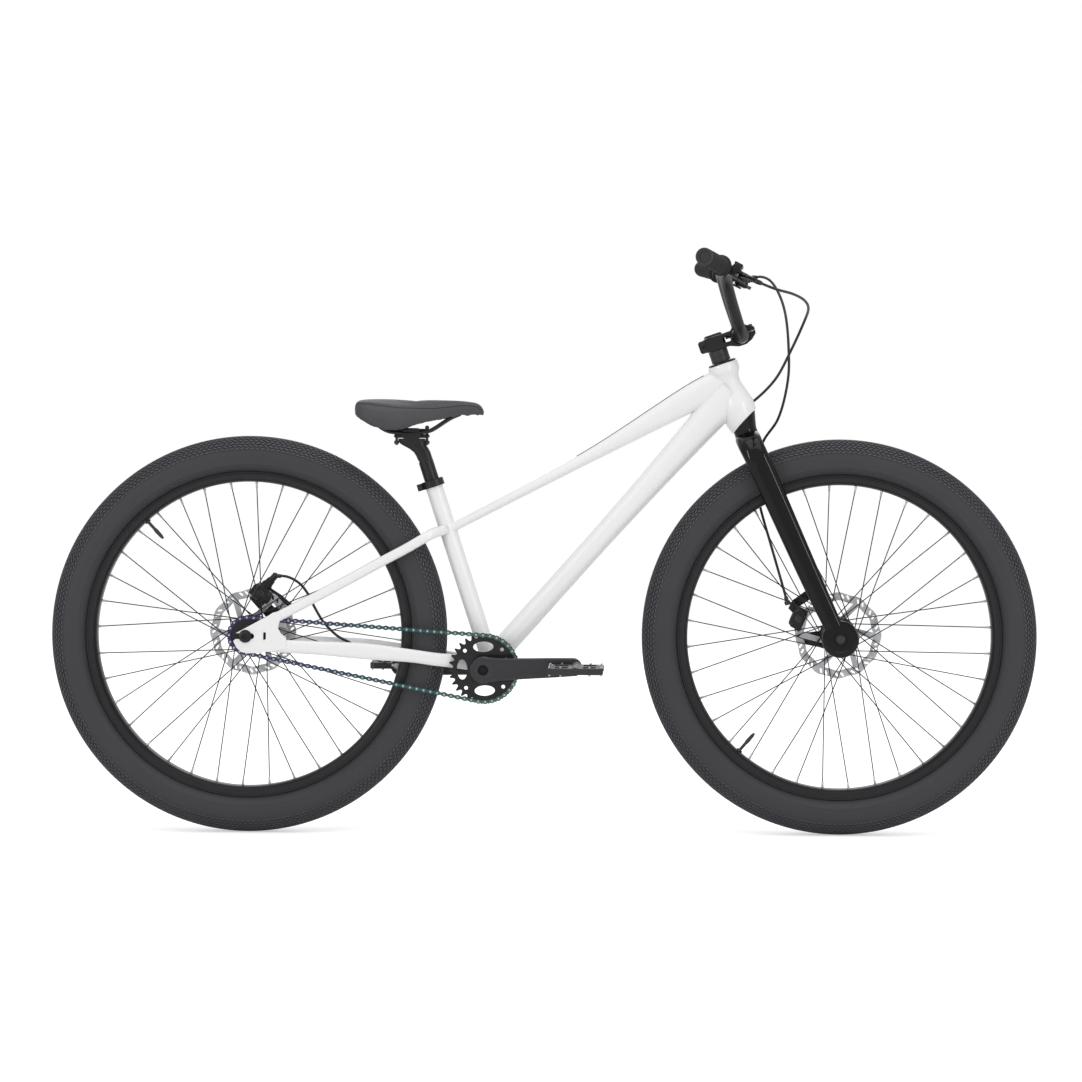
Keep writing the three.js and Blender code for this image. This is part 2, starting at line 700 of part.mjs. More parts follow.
// Frame
const top_tube_rear_height = 16;
const top_tube_mid_height = 24;
const top_tube_front_height = 52;
const top_tube_rear_width = 26;
const top_tube_mid_width = 34;
const top_tube_front_width = 40;
const down_tube_height = 41;
const down_tube_front_height = 54;
const down_tube_rear_width = 46;
const down_tube_front_width = 52;
const down_tube_foot = 12;
const chainstay_width = 13;
const chainstay_height = 24;
const seatstay_width = 13;
const seatstay_height = 18;
const dropout_side = rear_hub_width / 2;
const slot_height = 10.6;
const slot_window_height = 14.5;
const slot_window_width = 5;
const slot_window_ahead = 35;
const seat_cluster_drop = 84;
const seat_cluster_height = seat_tube_length - seat_cluster_drop;
const top_tube_drop = 83;
const top_tube_seat_height = seat_tube_length - top_tube_drop;
const head_join_top = 30;
const head_join_bottom = 54;
const skirt_front_depth = 96;
const skirt_tilt = 27;

// Head tube: a collar above a waist, a bell below it and a skirt that a slanting plane cuts away in front.
function headOutline(grow = 0) {
  return [
    [head_collar_radius - head_skirt_wall + grow, 0],
    [head_collar_radius + grow, head_skirt_wall],
    [head_collar_radius + grow, head_collar_height],
    [head_waist_radius + grow, head_waist_depth],
    [head_bell_radius + grow, head_bell_depth],
    [head_bell_radius + grow, head_tube_length],
    [head_skirt_radius + grow, head_tube_length + head_skirt_length],
  ];
}
const headTurned = (profile, sides = round_sides) => along(turned(profile, sides), head_down, head_top);
const head_block = headTurned([[0, 0], ...headOutline(fit_gap), [0, head_tube_length + head_skirt_length]]);
const skirt_block = 3 * head_tube_length;
const skirt_cut = placed(
  solid(new THREE.BoxGeometry(skirt_block, skirt_block, skirt_block)),
  headPoint(skirt_front_depth, head_bell_radius)
    .add(vec(Math.sin(radians(head_tilt + skirt_tilt)), 0, -Math.cos(radians(head_tilt + skirt_tilt)))
      .multiplyScalar(skirt_block / 2)),
  across_axis,
  -head_tilt - skirt_tilt,
);
const head_hollow = [
  [head_skirt_radius - head_skirt_wall, head_tube_length + head_skirt_length],
  [head_bell_radius - head_skirt_wall, head_tube_length],
  [lower_seat_radius, head_tube_length],
  [lower_seat_radius, head_tube_length - bearing_height],
  [head_bore_radius, head_tube_length - bearing_height],
  [head_bore_radius, bearing_height],
  [upper_seat_radius, bearing_height],
  [upper_seat_radius, 0],
];
const head_tube = headTurned([...headOutline(), ...head_hollow]).subtract(skirt_cut);
piece(bike, "head_tube", head_tube, white_paint);

// A hollow tube: its bore runs out of both ends, so that the ends stay open until a neighbour closes them.
function hollowTube(stations, steps, sides) {
  const outer = ovalTube(stations, steps, across_axis, sides);
  const first = stations[0];
  const last = stations.at(-1);
  const beyond = (end, next) => end[0].clone()
    .addScaledVector(end[0].clone().sub(next[0]).normalize(), tube_wall);
  const long = [
    [beyond(first, stations[1]), first[1], first[2]],
    ...stations.slice(1, -1),
    [beyond(last, stations.at(-2)), last[1], last[2]],
  ];
  return outer.subtract(ovalTube(long, steps, across_axis, sides, -tube_wall));
}

// Seat tube, open at the top for the post
const seat_tube_end = seat_tube_length + seat_clamp_height - seat_clamp_lip;
const seat_tube_outer = (grow) => rod(seat_tube_radius + grow, seatPoint(0), seatPoint(seat_tube_end), round_sides);
const seat_tube_bore = rod(holeRadius(seat_tube_bore_radius), seatPoint(0),
  seatPoint(seat_tube_end + cut_overrun), round_sides);
const shell_block = rod(holeRadius(bracket_shell_radius + fit_gap), bracket_at.clone().add(vec(0, -rear_hub_width, 0)),
  bracket_at.clone().add(vec(0, rear_hub_width, 0)), round_sides);
piece(bike, "seat_tube", seat_tube_outer(0).subtract(seat_tube_bore).subtract(shell_block), white_paint);
const seat_block = seat_tube_outer(2 * fit_gap);

// Top tube, deeper towards the head tube
const top_tube_sag = 4;
const top_tube_start = seatPoint(top_tube_seat_height);
const top_tube_stations = [
  [top_tube_start, top_tube_rear_width, top_tube_rear_height],
  [top_tube_start.clone().lerp(headPoint(head_join_top), 0.5).add(vec(0, 0, -top_tube_sag)),
    top_tube_mid_width, top_tube_mid_height],
  [headPoint(head_join_top + head_collar_radius / 4, -2 * head_collar_radius),
    top_tube_front_width, top_tube_front_height],
  [headPoint(head_join_top), top_tube_front_width, top_tube_front_height],
];
const top_tube_steps = 5;
const top_tube = hollowTube(top_tube_stations, top_tube_steps, stay_sides);
piece(bike, "top_tube", top_tube.subtract(head_block).subtract(seat_block), white_paint);
const top_tube_block = ovalTube(top_tube_stations, top_tube_steps, across_axis, stay_sides, fit_gap);

// Down tube, from the bottom bracket shell to the bell of the head tube
const down_tube_end = headPoint(head_join_bottom);
const down_tube_foot_share = 0.03;
const down_tube_mid_share = 0.5;
const down_tube_neck_share = 0.84;
const down_tube_point = (share) => bracket_at.clone().lerp(down_tube_end, share);
const down_tube_steps = 5;
const down_tube_stations = [
  [down_tube_point(down_tube_foot_share), down_tube_rear_width, down_tube_height],
  [down_tube_point(down_tube_mid_share), down_tube_rear_width, down_tube_height],
  [down_tube_point(down_tube_neck_share), down_tube_front_width, down_tube_front_height],
  [down_tube_end, down_tube_front_width, down_tube_front_height + down_tube_foot],
];
const down_tube = hollowTube(down_tube_stations, down_tube_steps, stay_sides);
const down_tube_trimmed = down_tube
  .subtract(head_block)
  .subtract(top_tube_block)
  .subtract(shell_block)
  .subtract(seat_block);

// Bottom bracket shell, with the bearing unit inside
const bracketPoint = (side) => bracket_at.clone().add(vec(0, side, 0));
const bracketTube = (radius, bore, from, to) => tubeOf(radius, bore, bracketPoint(from), bracketPoint(to));
const shell_side = bracket_shell_width / 2;
const shell = bracketTube(bracket_shell_radius, bracket_bore_radius, -shell_side, shell_side);
const spindle_hole_radius = spindle_radius + fit_gap;
const cup_inner = shell_side + fit_gap;
const bracket_unit = union([
  bracketTube(bracket_sleeve_radius, spindle_hole_radius, -cup_inner - bracket_cup_width, cup_inner + bracket_cup_width),
  bracketTube(bracket_cup_radius, spindle_hole_radius, cup_inner, cup_inner + bracket_cup_width),
  bracketTube(bracket_cup_radius, spindle_hole_radius, -cup_inner - bracket_cup_width, -cup_inner),
]);
piece(bike, "bottom_bracket", bracket_unit, black_anodised);

// Stays: [share of the way, share of the half width at the dropouts, lift and height as shares of the height]
const chainstay_shares = [
  [0.03, 0.36, 0.16, 1], [0.147, 0.52, 0.19, 1], [0.212, 0.61, 0.17, 1], [0.304, 0.72, 0.2, 1],
  [0.505, 0.845, 0.07, 1.21], [0.72, 0.94, -0.19, 1], [0.853, 0.985, -0.39, 1], [0.904, 1, -0.42, 1],
];
const seatstay_shares = [
  [0.02, 0.24, 0.3, 1], [0.09, 0.58, 0.5, 1], [0.15, 0.69, 0.45, 1], [0.22, 0.7, 0.35, 1],
  [0.36, 0.72, 0.28, 1], [0.6, 0.8, 0.1, 1], [0.88, 0.95, 0, 1], [1, 1, 0, 1],
];
const stay_steps = 6;
const dropout_reach = 80;
const stay_foot_shares = [0.45, 0.3];
const stay_foot = rear_axle_at.clone()
  .add(vec(dropout_reach * stay_foot_shares[0], 0, dropout_reach * stay_foot_shares[1]));

function stayStations(from, to, shares, side, width, height) {
  return shares.map(([way, out, lift, tall]) => [
    from.clone().lerp(to, way).add(vec(0, side * out * dropout_side, lift * height)), width, tall * height,
  ]);
}

// Dropout plates, with a slot open to the rear for the axle
const dropout_shares = [
  [0.5, 0.457], [0.72, 0.56], [0.82, 0.42], [0.72, 0.2], [0.93, -0.03],
  [0.93, -0.28], [0.56, -0.35], [0.2275, -0.385], [-0.09, -0.36], [-0.274, -0.1125],
];
const slot_end_share = 0.2;
const slot_lip_share = 0.22;

function dropoutPlate(side, grow = 0) {
  const at = ([x, z]) => [rear_axle_at.x + x * dropout_reach, rear_axle_at.z + z * dropout_reach];
  const half_slot = slot_height / 2 - grow;
  const slot_end = rear_axle_at.x + dropout_reach * slot_end_share;
  const outline = [
    [rear_axle_at.x - dropout_reach * slot_lip_share, rear_axle_at.z + half_slot],
    [slot_end - half_slot, rear_axle_at.z + half_slot],
    [slot_end, rear_axle_at.z],
    [slot_end - half_slot, rear_axle_at.z - half_slot],
    [rear_axle_at.x - dropout_reach * slot_lip_share, rear_axle_at.z - half_slot],
    ...dropout_shares.map(at).reverse(),
  ];
  const window_x = rear_axle_at.x + slot_window_ahead;
  const corner = (sx, sz) => [
    window_x + (sx * slot_window_width) / 2,
    rear_axle_at.z + (sz * slot_window_height) / 2,
  ];
  const window = [corner(-1, -1), corner(1, -1), corner(1, 1), corner(-1, 1)];
  return plate(outline, side * (dropout_side - grow), side * (dropout_side + dropout_thickness + grow),
    grow ? [] : [window]);
}

function buildStays(name, side) {
  const block_out = dropoutPlate(side, fit_gap);
  const chain_way = stayStations(bracket_at, rear_axle_at, chainstay_shares, side,
    chainstay_width, chainstay_height);
  const seat_way = stayStations(seatPoint(seat_cluster_height), stay_foot, seatstay_shares, side,
    seatstay_width, seatstay_height);
  const chainstay = hollowTube(chain_way, stay_steps, stay_sides).subtract(shell_block).subtract(block_out);
  const seatstay = ovalTube(seat_way, stay_steps, across_axis, stay_sides).subtract(seat_block).subtract(block_out);
  const main = (made) => made.decompose().sort((a, b) => b.volume() - a.volume())[0];
  piece(bike, `dropout_${name}`, dropoutPlate(side), white_paint);
  piece(bike, `seatstay_${name}`, main(seatstay), white_paint);
  return { chainstay: main(chainstay), seat_way };
}
const right_stays = buildStays("right", -1);
const left_stays = buildStays("left", 1);
piece(bike, "chainstay_right", right_stays.chainstay, white_paint);

// Brake hoses. The rear one runs from the right lever into the down tube, past the bottom bracket,
// along the left chainstay and up to its caliper. The front one runs down the outside of the left blade.
const hose_sides = 6;
const hose_channel_radius = 3.4;
const rear_hose_route = [
  [380.5, -225, 1010.3], [415.3, -190, 997.7], [449, -140, 989.7], [471.1, -90, 979.3], [479.6, -50, 966.3],
  [474.3, 0, 943.6], [449.8, 30, 887.4], [422.1, 42, 835.5], [382.3, 45, 795.1], [350, 43, 775],
  [322, 37, 768], [296, 22, 754], [268, 8, 728], [116.8, 0, 558.4], [0, 4, 426.6], [-80, 14, 338],
  [-103.6, 19, 322.8], [-116, 21, 320.2], [-126, 24, 313.6], [-172, 35, 317.7], [-240, 48.5, 327],
  [-327, 57, 336], [-350, 57, 339], [-370, 53, 347], [-386, 46, 357], [-400, 44, 370], [-413, 44, 385],
  [-431, 44, 416], [-440, 44.5, 434], [-456, 47, 453], [-478, 51, 464.5], [-501.3, 55, 466.4],
];
const front_hose_route = [
  [381.9, 225, 1027.5], [398.4, 200, 1029.2], [414.4, 170, 1021.4], [430.4, 130, 995.4], [441.7, 95, 956.7],
  [447.3, 70, 894.8], [446.4, 65, 835.6], [428.5, 72, 762.1], [401.9, 80, 720.8], [388, 78, 672],
  [389, 75, 636], [397.1, 72, 595.8], [417.2, 66, 526.4], [436, 52, 462], [447, 44, 423.5],
];

function hose(route, radius) {
  const curve = new THREE.CatmullRomCurve3(route.map((p) => vec(...p)), false, "centripetal");
  const steps = route.length - 1;
  const rings = Array.from({ length: steps + 1 }, (unused, i) => {
    return [curve.getPoint(i / steps), curve.getTangent(i / steps)];
  });
  // Each ring is the one before it, turned with the route, so that the tube doesn't twist.
  let side = across_axis.clone().cross(rings[0][1]).normalize();
  return loft(rings.map(([at, tangent]) => {
    side = side.clone().addScaledVector(tangent, -side.dot(tangent)).normalize();
    return ovalRing(at, tangent, side, 2 * radius, 2 * radius, hose_sides);
  }));
}
const hose_channel = hose(rear_hose_route, hose_channel_radius);
const largest = (made) => made.decompose().sort((a, b) => b.volume() - a.volume())[0];

piece(bike, "down_tube", largest(down_tube_trimmed.subtract(hose_channel)), white_paint);
piece(bike, "bottom_bracket_shell", shell.subtract(hose_channel), white_paint);
piece(bike, "chainstay_left", largest(left_stays.chainstay.subtract(hose_channel)), white_paint);
piece(bike, "rear_brake_hose", hose(rear_hose_route, hose_radius), cover);

// Headset: a bearing in each end of the head tube; the upper one has a dust cap.
const headset_cap_height = 4;
const headset_cap_radius = 27.5;
piece(bike, "headset_upper", headTurned([
  [holeRadius(steerer_radius + fit_gap), -headset_cap_height],
  [headset_cap_radius - headset_cap_height / 2, -headset_cap_height],
  [headset_cap_radius, -fit_gap],
  [upper_seat_radius - fit_gap, -fit_gap],
  [upper_seat_radius - fit_gap, bearing_height - fit_gap],
  [holeRadius(steerer_radius + fit_gap), bearing_height - fit_gap],
]), black_anodised);
piece(bike, "headset_lower", headTurned([
  [holeRadius(steerer_base_radius + fit_gap), head_tube_length - bearing_height + fit_gap],
  [lower_seat_radius - fit_gap, head_tube_length - bearing_height + fit_gap],
  [lower_seat_radius - fit_gap, head_tube_length],
  [holeRadius(steerer_base_radius + fit_gap), head_tube_length],
]), steel);

// Seat clamp: a collar with two ears and a bolt behind and a cam boss in front
const clamp_ear = vec(12, 16, 10);
const clamp_boss_radius = 7;
const seatTurned = (profile, foot, sides = round_sides) => along(turned(profile, sides), seat_up, seatPoint(foot));
const clamp_bore = holeRadius(seat_tube_radius + fit_gap);
const clamp_ring = seatTurned([
  [clamp_bore, 0],
  [seat_clamp_radius, 0],
  [seat_clamp_radius, seat_clamp_height],
  [holeRadius(seatpost_radius + fit_gap), seat_clamp_height],
  [holeRadius(seatpost_radius + fit_gap), seat_clamp_height - seat_clamp_lip + fit_gap],
  [clamp_bore, seat_clamp_height - seat_clamp_lip + fit_gap],
], seat_tube_length);
const clamp_middle = seat_tube_length + seat_clamp_height / 2;
const clamp_rear = seatPoint(clamp_middle, -seat_clamp_radius - clamp_ear.x / 4);
const clamp_front = (side) => seatPoint(clamp_middle, seat_clamp_radius + clamp_boss_radius / 2, side);
piece(bike, "seat_clamp", union([
  clamp_ring,
  block(clamp_rear, clamp_ear, -seat_tube_tilt),
  rod(clamp_boss_radius, clamp_front(-clamp_ear.y / 2), clamp_front(clamp_ear.y / 2), stay_sides),
]), black_anodised);

// Rear axle with a bolt at each end
const axle_head_radius = 11.7;
const axle_head_width = 7;
const dropout_outer = dropout_side + dropout_thickness + fit_gap;
const rearAxle = (radius, from, to) => rod(radius, rear_axle_at.clone().add(vec(0, from, 0)),
  rear_axle_at.clone().add(vec(0, to, 0)), stay_sides);
piece(bike, "rear_axle", union([
  rearAxle(rear_axle_radius, -dropout_outer - axle_head_width, dropout_outer + axle_head_width),
  rearAxle(axle_head_radius, -dropout_outer - axle_head_width, -dropout_outer),
  rearAxle(axle_head_radius, dropout_outer, dropout_outer + axle_head_width),
]), black_anodised);

// A brake caliper over the rim of its rotor: a body with a slot, and an arm to its mount
const caliper_length = 40;
const caliper_depth = 26;
const caliper_slot = 3.4;
const caliper_outer_reach = 12.7;
const caliper_inner_reach = 13;

function caliper(centre, wheel_at, side, degrees) {
  const width = caliper_outer_reach + caliper_inner_reach;
  const middle = side + (caliper_outer_reach - caliper_inner_reach) / 2;
  const body = block(vec(centre.x, middle, centre.z), vec(caliper_length, width, caliper_depth), degrees);
  const slot = rod(holeRadius(rotor_radius + fit_gap, wheel_sides),
    vec(wheel_at.x, side - caliper_slot / 2, wheel_at.z),
    vec(wheel_at.x, side + caliper_slot / 2, wheel_at.z), wheel_sides);
  return body.subtract(slot);
}
const rear_caliper_shares = [0.194, 0.8875];
const rear_caliper_at = rear_axle_at.clone()
  .add(vec(rear_caliper_shares[0] * rotor_radius, 0, rear_caliper_shares[1] * rotor_radius));
const rear_caliper_tilt = -33;
const bracket_plate_thickness = 6;
const rear_bracket_shares = [[-0.6, -0.25], [0.1, 0.42], [0.9, -0.1], [1.5, -0.62], [0.3, -1.25]];
const aboutCaliper = (at, shares) => shares.map(([x, z]) => [at.x + x * caliper_length, at.z + z * caliper_length]);
const rear_mount_side = rear_rotor_side + caliper_outer_reach;
const rear_bracket = plate(
  aboutCaliper(rear_caliper_at, rear_bracket_shares),
  rear_mount_side - bracket_plate_thickness, rear_mount_side);
const left_seatstay_block = ovalTube(left_stays.seat_way, stay_steps, across_axis, stay_sides, fit_gap);
const rear_caliper = caliper(rear_caliper_at, rear_axle_at, rear_rotor_side, rear_caliper_tilt)
  .add(rear_bracket)
  .subtract(left_seatstay_block)
  .subtract(dropoutPlate(1, fit_gap))
  .subtract(hose(rear_hose_route, hose_radius + fit_gap));
piece(bike, "rear_caliper", largest(rear_caliper), black_anodised);

// Steering. Its small parts are made upright about the steering axis, from the top of the head tube:
// x ahead, y to the side, z up the axis.
const steering = new THREE.Group();
bike.add(steering);
const inHead = (made) => placed(made, head_top, across_axis, -head_tilt);
const headRing = (bore, radius, z0, z1) => {
  const clear_bore = holeRadius(bore + fit_gap);
  return turned([[clear_bore, z0], [radius, z0], [radius, z1], [clear_bore, z1]]);
};
const stem_foot = spacer_height + fit_gap;
const stem_top = stem_foot + stem_height;
piece(steering, "headset_spacer", inHead(headRing(steerer_radius, spacer_radius, headset_cap_height + fit_gap,
  spacer_height)), black_anodised);
piece(steering, "top_cap", inHead(turned([
  [0, stem_top + fit_gap],
  [top_cap_radius, stem_top + fit_gap],
  [top_cap_radius, stem_top + fit_gap + top_cap_height / 2],
  [top_cap_radius - top_cap_height / 2, stem_top + fit_gap + top_cap_height],
  [0, stem_top + fit_gap + top_cap_height],
])), black_anodised);

// The stem: a collar that pinches the steerer, a flat body and the lower half of the bar's clamp.
const stem_wall = 5;
const stem_collar_radius = steerer_radius + stem_wall;
const stem_clamp_radius = bar_centre_radius + stem_wall;
const stem_middle = stem_foot + stem_height / 2;
const stem_body_height = 19;
const stem_pinch = vec(13, 22, 20);
const stem_clamp_ear = vec(56, stem_width, 9);
const stem_window = vec(15, stem_width + cut_overrun, 8);
const clamp_bolt_radius = 4;
const clamp_bolt_height = 5;
const clamp_bolt_shares = [[-0.38, -0.3], [-0.38, 0.3], [0.38, -0.3], [0.38, 0.3]];
const barRod = (radius, half, sides = round_sides) => rod(radius, vec(stem_reach, -half, stem_middle),
  vec(stem_reach, half, stem_middle), sides);
const bar_hole = barRod(holeRadius(bar_centre_radius + fit_gap), stem_width);
const clamp_cut = block(
  vec(stem_reach, 0, stem_middle + stem_reach),
  vec(stem_reach + stem_clamp_radius, 2 * stem_width, 2 * stem_reach));
const clamp_body = union([
  barRod(stem_clamp_radius, stem_width / 2),
  block(vec(stem_reach, 0, stem_middle + fit_gap), stem_clamp_ear),
]).subtract(bar_hole);
const stem_body = union([
  turned([[0, stem_foot], [stem_collar_radius, stem_foot], [stem_collar_radius, stem_top], [0, stem_top]]),
  block(vec(-stem_collar_radius, 0, stem_middle), stem_pinch),
  block(vec(stem_reach / 2, 0, stem_middle), vec(stem_reach, stem_width, stem_body_height)),
])
  .subtract(barRod(stem_clamp_radius - fit_gap, stem_width))
  .subtract(block(vec(stem_reach / 2 + fit_gap, 0, stem_middle), stem_window));
const steerer_hole = turned([
  [0, 0],
  [holeRadius(steerer_radius + fit_gap), 0],
  [holeRadius(steerer_radius + fit_gap), 2 * stem_top],
  [0, 2 * stem_top],
]);
const bar_cap = clamp_body.intersect(placed(clamp_cut, vec(0, 0, fit_gap)));
const clamp_bolts = clamp_bolt_shares.map(([x, y]) => {
  const foot = vec(stem_reach + x * stem_clamp_ear.x, y * stem_width, stem_middle);
  return rod(clamp_bolt_radius, foot.clone().add(vec(0, 0, fit_gap + clamp_bolt_height / 2)),
    foot.clone().add(vec(0, 0, stem_clamp_ear.z / 2 + clamp_bolt_height)));
});
piece(steering, "stem", inHead(largest(
  stem_body.add(clamp_body.subtract(clamp_cut)).subtract(clamp_cut).subtract(steerer_hole))), black_anodised);
piece(steering, "stem_bar_cap", inHead(bar_cap.add(union(clamp_bolts).subtract(bar_hole))), black_anodised);

// The handlebar rises on each side of its clamp, leans back and sweeps back to its ends.
const bar_sides = 10;
const bar_clamp_at = headPoint(-stem_middle, stem_reach);
const barPoint = (side, [back, out, up]) => bar_clamp_at.clone().add(vec(-back, side * out, up));
const barTube = (grow) => {
  const half = (side) => bar_way.map((row) => [barPoint(side, row), 2 * row[3], 2 * row[3]]);
  const stations = [...half(-1).reverse(), ...half(1).slice(1)];
  return ovalTube(stations, stations.length - 1, forward_axis, bar_sides, grow);
};
piece(steering, "handlebar", barTube(0), black_anodised);

const grip_flange_width = 4;
const grip_cap_width = 3;
const lever_drop = 28;
const lever_clamp_width = 14;
const lever_clamp_radius = 16;
const lever_cylinder_radius = 9;
const lever_cylinder_length = 38;
const lever_cylinder_reach = 22;
const lever_pin_radius = 2.5;
const lever_pin_half = 8;
const lever_blade_half = 3.2;
const lever_housing_half = 7;
const lever_housing_reach = 46;
const lever_blade_length = 70;
const lever_pivot_shares = [-0.043, 0.826];
const lever_pivot = lever_pivot_shares.map((share) => share * lever_housing_reach);
const ferrule_radius = 4.2;
const ferrule_length = 14;
// Plates of the brake lever: [out along the bar, reach from the bar], as shares of the housing's reach
const lever_housing_shares = [
  [-0.435, 0.174], [0.304, 0.174], [0.304, 0.739], [0.13, 1], [-0.261, 1], [-0.478, 0.652],
];
const lever_slot_shares = [
  [-0.196, 0.587], [0.652, 0.587], [0.652, 1.304], [-0.196, 1.304],
];
// The blade, as shares of its length
const lever_blade_shares = [
  [-0.1, 0.486], [0.057, 0.457], [0.429, 0.543], [0.8, 0.743], [1, 0.914], [0.971, 0.986], [0.886, 0.971],
  [0.657, 0.814], [0.371, 0.686], [0.057, 0.657], [-0.1, 0.614],
];
const scaledOutline = (shares, size) => shares.map(([out, reach]) => [out * size, reach * size]);

function buildLever(name, side, route) {
  const outer = barPoint(side, bar_way.at(-1));
  const grip_out = outer.clone().sub(barPoint(side, bar_way.at(-2))).normalize();
  const grip_at = outer.clone().addScaledVector(grip_out, -grip_length);
  const grip = along(turned([
    [0, 0],
    [grip_flange_radius, 0],
    [grip_flange_radius, grip_flange_width],
    [grip_radius, grip_flange_width],
    [grip_radius, grip_length + grip_cap_width],
    [0, grip_length + grip_cap_width],
  ]), grip_out, grip_at);
  const grip_bore = rod(holeRadius(bar_radius + fit_gap, bar_sides), grip_at.clone().addScaledVector(grip_out, -cut_overrun),
    outer.clone().addScaledVector(grip_out, fit_gap), bar_sides);
  piece(steering, `grip_${name}`, grip.subtract(grip_bore), rubber);

  // The lever sits on the straight part inside the grip, in a plane through the bar that slopes down ahead of it.
  const clamp_from = barPoint(side, bar_way.at(-4));
  const clamp_to = barPoint(side, bar_way.at(-3));
  const out = clamp_to.clone().sub(clamp_from).normalize();
  const reach = vec(Math.cos(radians(lever_drop)), 0, -Math.sin(radians(lever_drop)));
  const flat_reach = reach.addScaledVector(out, -reach.dot(out)).normalize();
  const lift = flat_reach.clone().cross(out).multiplyScalar(side);
  const at = clamp_from.clone().lerp(clamp_to, 1 / 2);
  const basis = new THREE.Matrix4().makeBasis(out, lift, flat_reach).setPosition(at);
  const inLever = (made) => made.transform(basis.elements);
  const housing = union([
    rod(lever_clamp_radius, vec(-lever_clamp_width / 2, 0, 0), vec(lever_clamp_width / 2, 0, 0), stay_sides),
    plate(scaledOutline(lever_housing_shares, lever_housing_reach), -lever_housing_half, lever_housing_half),
    rod(lever_cylinder_radius, vec(-lever_cylinder_length, lever_cylinder_radius, lever_cylinder_reach),
      vec(lever_clamp_width, lever_cylinder_radius, lever_cylinder_reach)),
  ]).subtract(rod(holeRadius(bar_radius + fit_gap, rod_sides), vec(-lever_cylinder_length, 0, 0),
    vec(lever_cylinder_length, 0, 0)));
  const slot = plate(scaledOutline(lever_slot_shares, lever_housing_reach),
    -lever_blade_half - running_gap, lever_blade_half + running_gap);
  const pin = rod(lever_pin_radius, vec(lever_pivot[0], -lever_pin_half, lever_pivot[1]),
    vec(lever_pivot[0], lever_pin_half, lever_pivot[1]));
  const blade = plate(scaledOutline(lever_blade_shares, lever_blade_length), -lever_blade_half, lever_blade_half, [
    hole(lever_pivot[0], lever_pivot[1], lever_pin_radius + fit_gap, rod_sides),
  ]);
  const start = vec(...route[0]);
  const way = vec(...route[1]).sub(start).normalize();
  const ferrule = rod(ferrule_radius,
    at.clone().addScaledVector(flat_reach, lever_cylinder_reach).addScaledVector(lift, lever_cylinder_radius),
    start.clone().addScaledVector(way, ferrule_length), rod_sides);
  const body = inLever(housing)
    .add(ferrule)
    .subtract(hose(route, hose_radius + fit_gap))
    .subtract(inLever(slot))
    .add(inLever(pin));
  piece(steering, `brake_lever_body_${name}`, largest(body), black_anodised);
  piece(steering, `brake_lever_blade_${name}`, inLever(blade), black_anodised);
}
buildLever("right", -1, rear_hose_route);
buildLever("left", 1, front_hose_route);
piece(steering, "front_brake_hose", hose(front_hose_route, hose_radius), cover);

// Fork: a steerer that widens downwards, a conical crown, and a half on each side with its lug at the axle
const fork_sides = 10;
const fork_lug_radius = 34;
const fork_lug_inner = 55.3;
const fork_lug_outer = 68;
const crown_gap = 1.7;
const crown_cone_top = head_tube_length + crown_gap;
const crown_cone_foot = head_tube_length + head_skirt_length;
const crown_middle = fork_way[0][0];
// The cone turns inside the faceted skirt, so its corners stay inside the flats of the skirt's wall.
const insideSkirt = (radius) => (radius - head_skirt_wall) * Math.cos(Math.PI / round_sides) - running_gap;
const crown_cone_top_radius = insideSkirt(head_bell_radius);
const crown_cone_radius = insideSkirt(head_skirt_radius);
const steerer_taper_shares = [0.45, 0.78];
const front_caliper_shares = [-0.931, 0.4];
const front_caliper_at = front_axle_at.clone()
  .add(vec(front_caliper_shares[0] * rotor_radius, 0, front_caliper_shares[1] * rotor_radius));
const front_caliper_tilt = 66;
const front_mount_side = front_rotor_side + caliper_outer_reach;
const fork_tab_thickness = 6;
// Outlines about the front caliper, as shares of its length
const fork_tab_shares = [
  [[-0.275, 0.775], [0.025, 0.475], [0.775, 0.975], [0.825, 1.575]],
  [[1.325, -1.475], [1.675, -1.35], [1.375, -0.575], [0.175, -0.725], [-0.025, -1.075], [0.275, -1.175]],
];
const front_ear_shares = [
  [[-0.275, 0.775], [-0.45, 0.425], [-0.15, 0.125], [0.125, 0.375], [0.025, 0.575]],
  [[-0.025, -1.075], [0.275, -1.125], [0.325, -0.825], [0.225, -0.375], [-0.175, -0.475]],
];
const forkStations = (side) => fork_way.map(([down, ahead, out, thick, deep]) => [
  headPoint(down, ahead, side * out), deep, thick,
]);
const fork_stations = [...forkStations(-1).reverse(), ...forkStations(1).slice(1)];
const lugRod = (radius, side, sides) => rod(radius,
  front_axle_at.clone().add(vec(0, side * fork_lug_inner, 0)),
  front_axle_at.clone().add(vec(0, side * fork_lug_outer, 0)), sides);
const frontAxle = (radius, from, to, sides = rod_sides) => rod(radius,
  front_axle_at.clone().add(vec(0, from, 0)), front_axle_at.clone().add(vec(0, to, 0)), sides);
const steerer = headTurned([
  [0, -stem_top],
  [steerer_radius, -stem_top],
  [steerer_radius, head_tube_length * steerer_taper_shares[0]],
  [steerer_base_radius, head_tube_length * steerer_taper_shares[1]],
  [steerer_base_radius, crown_cone_top],
  [crown_cone_top_radius, crown_cone_top],
  [crown_cone_radius, crown_cone_foot],
  [crown_cone_radius, crown_middle],
  [0, crown_middle],
]);
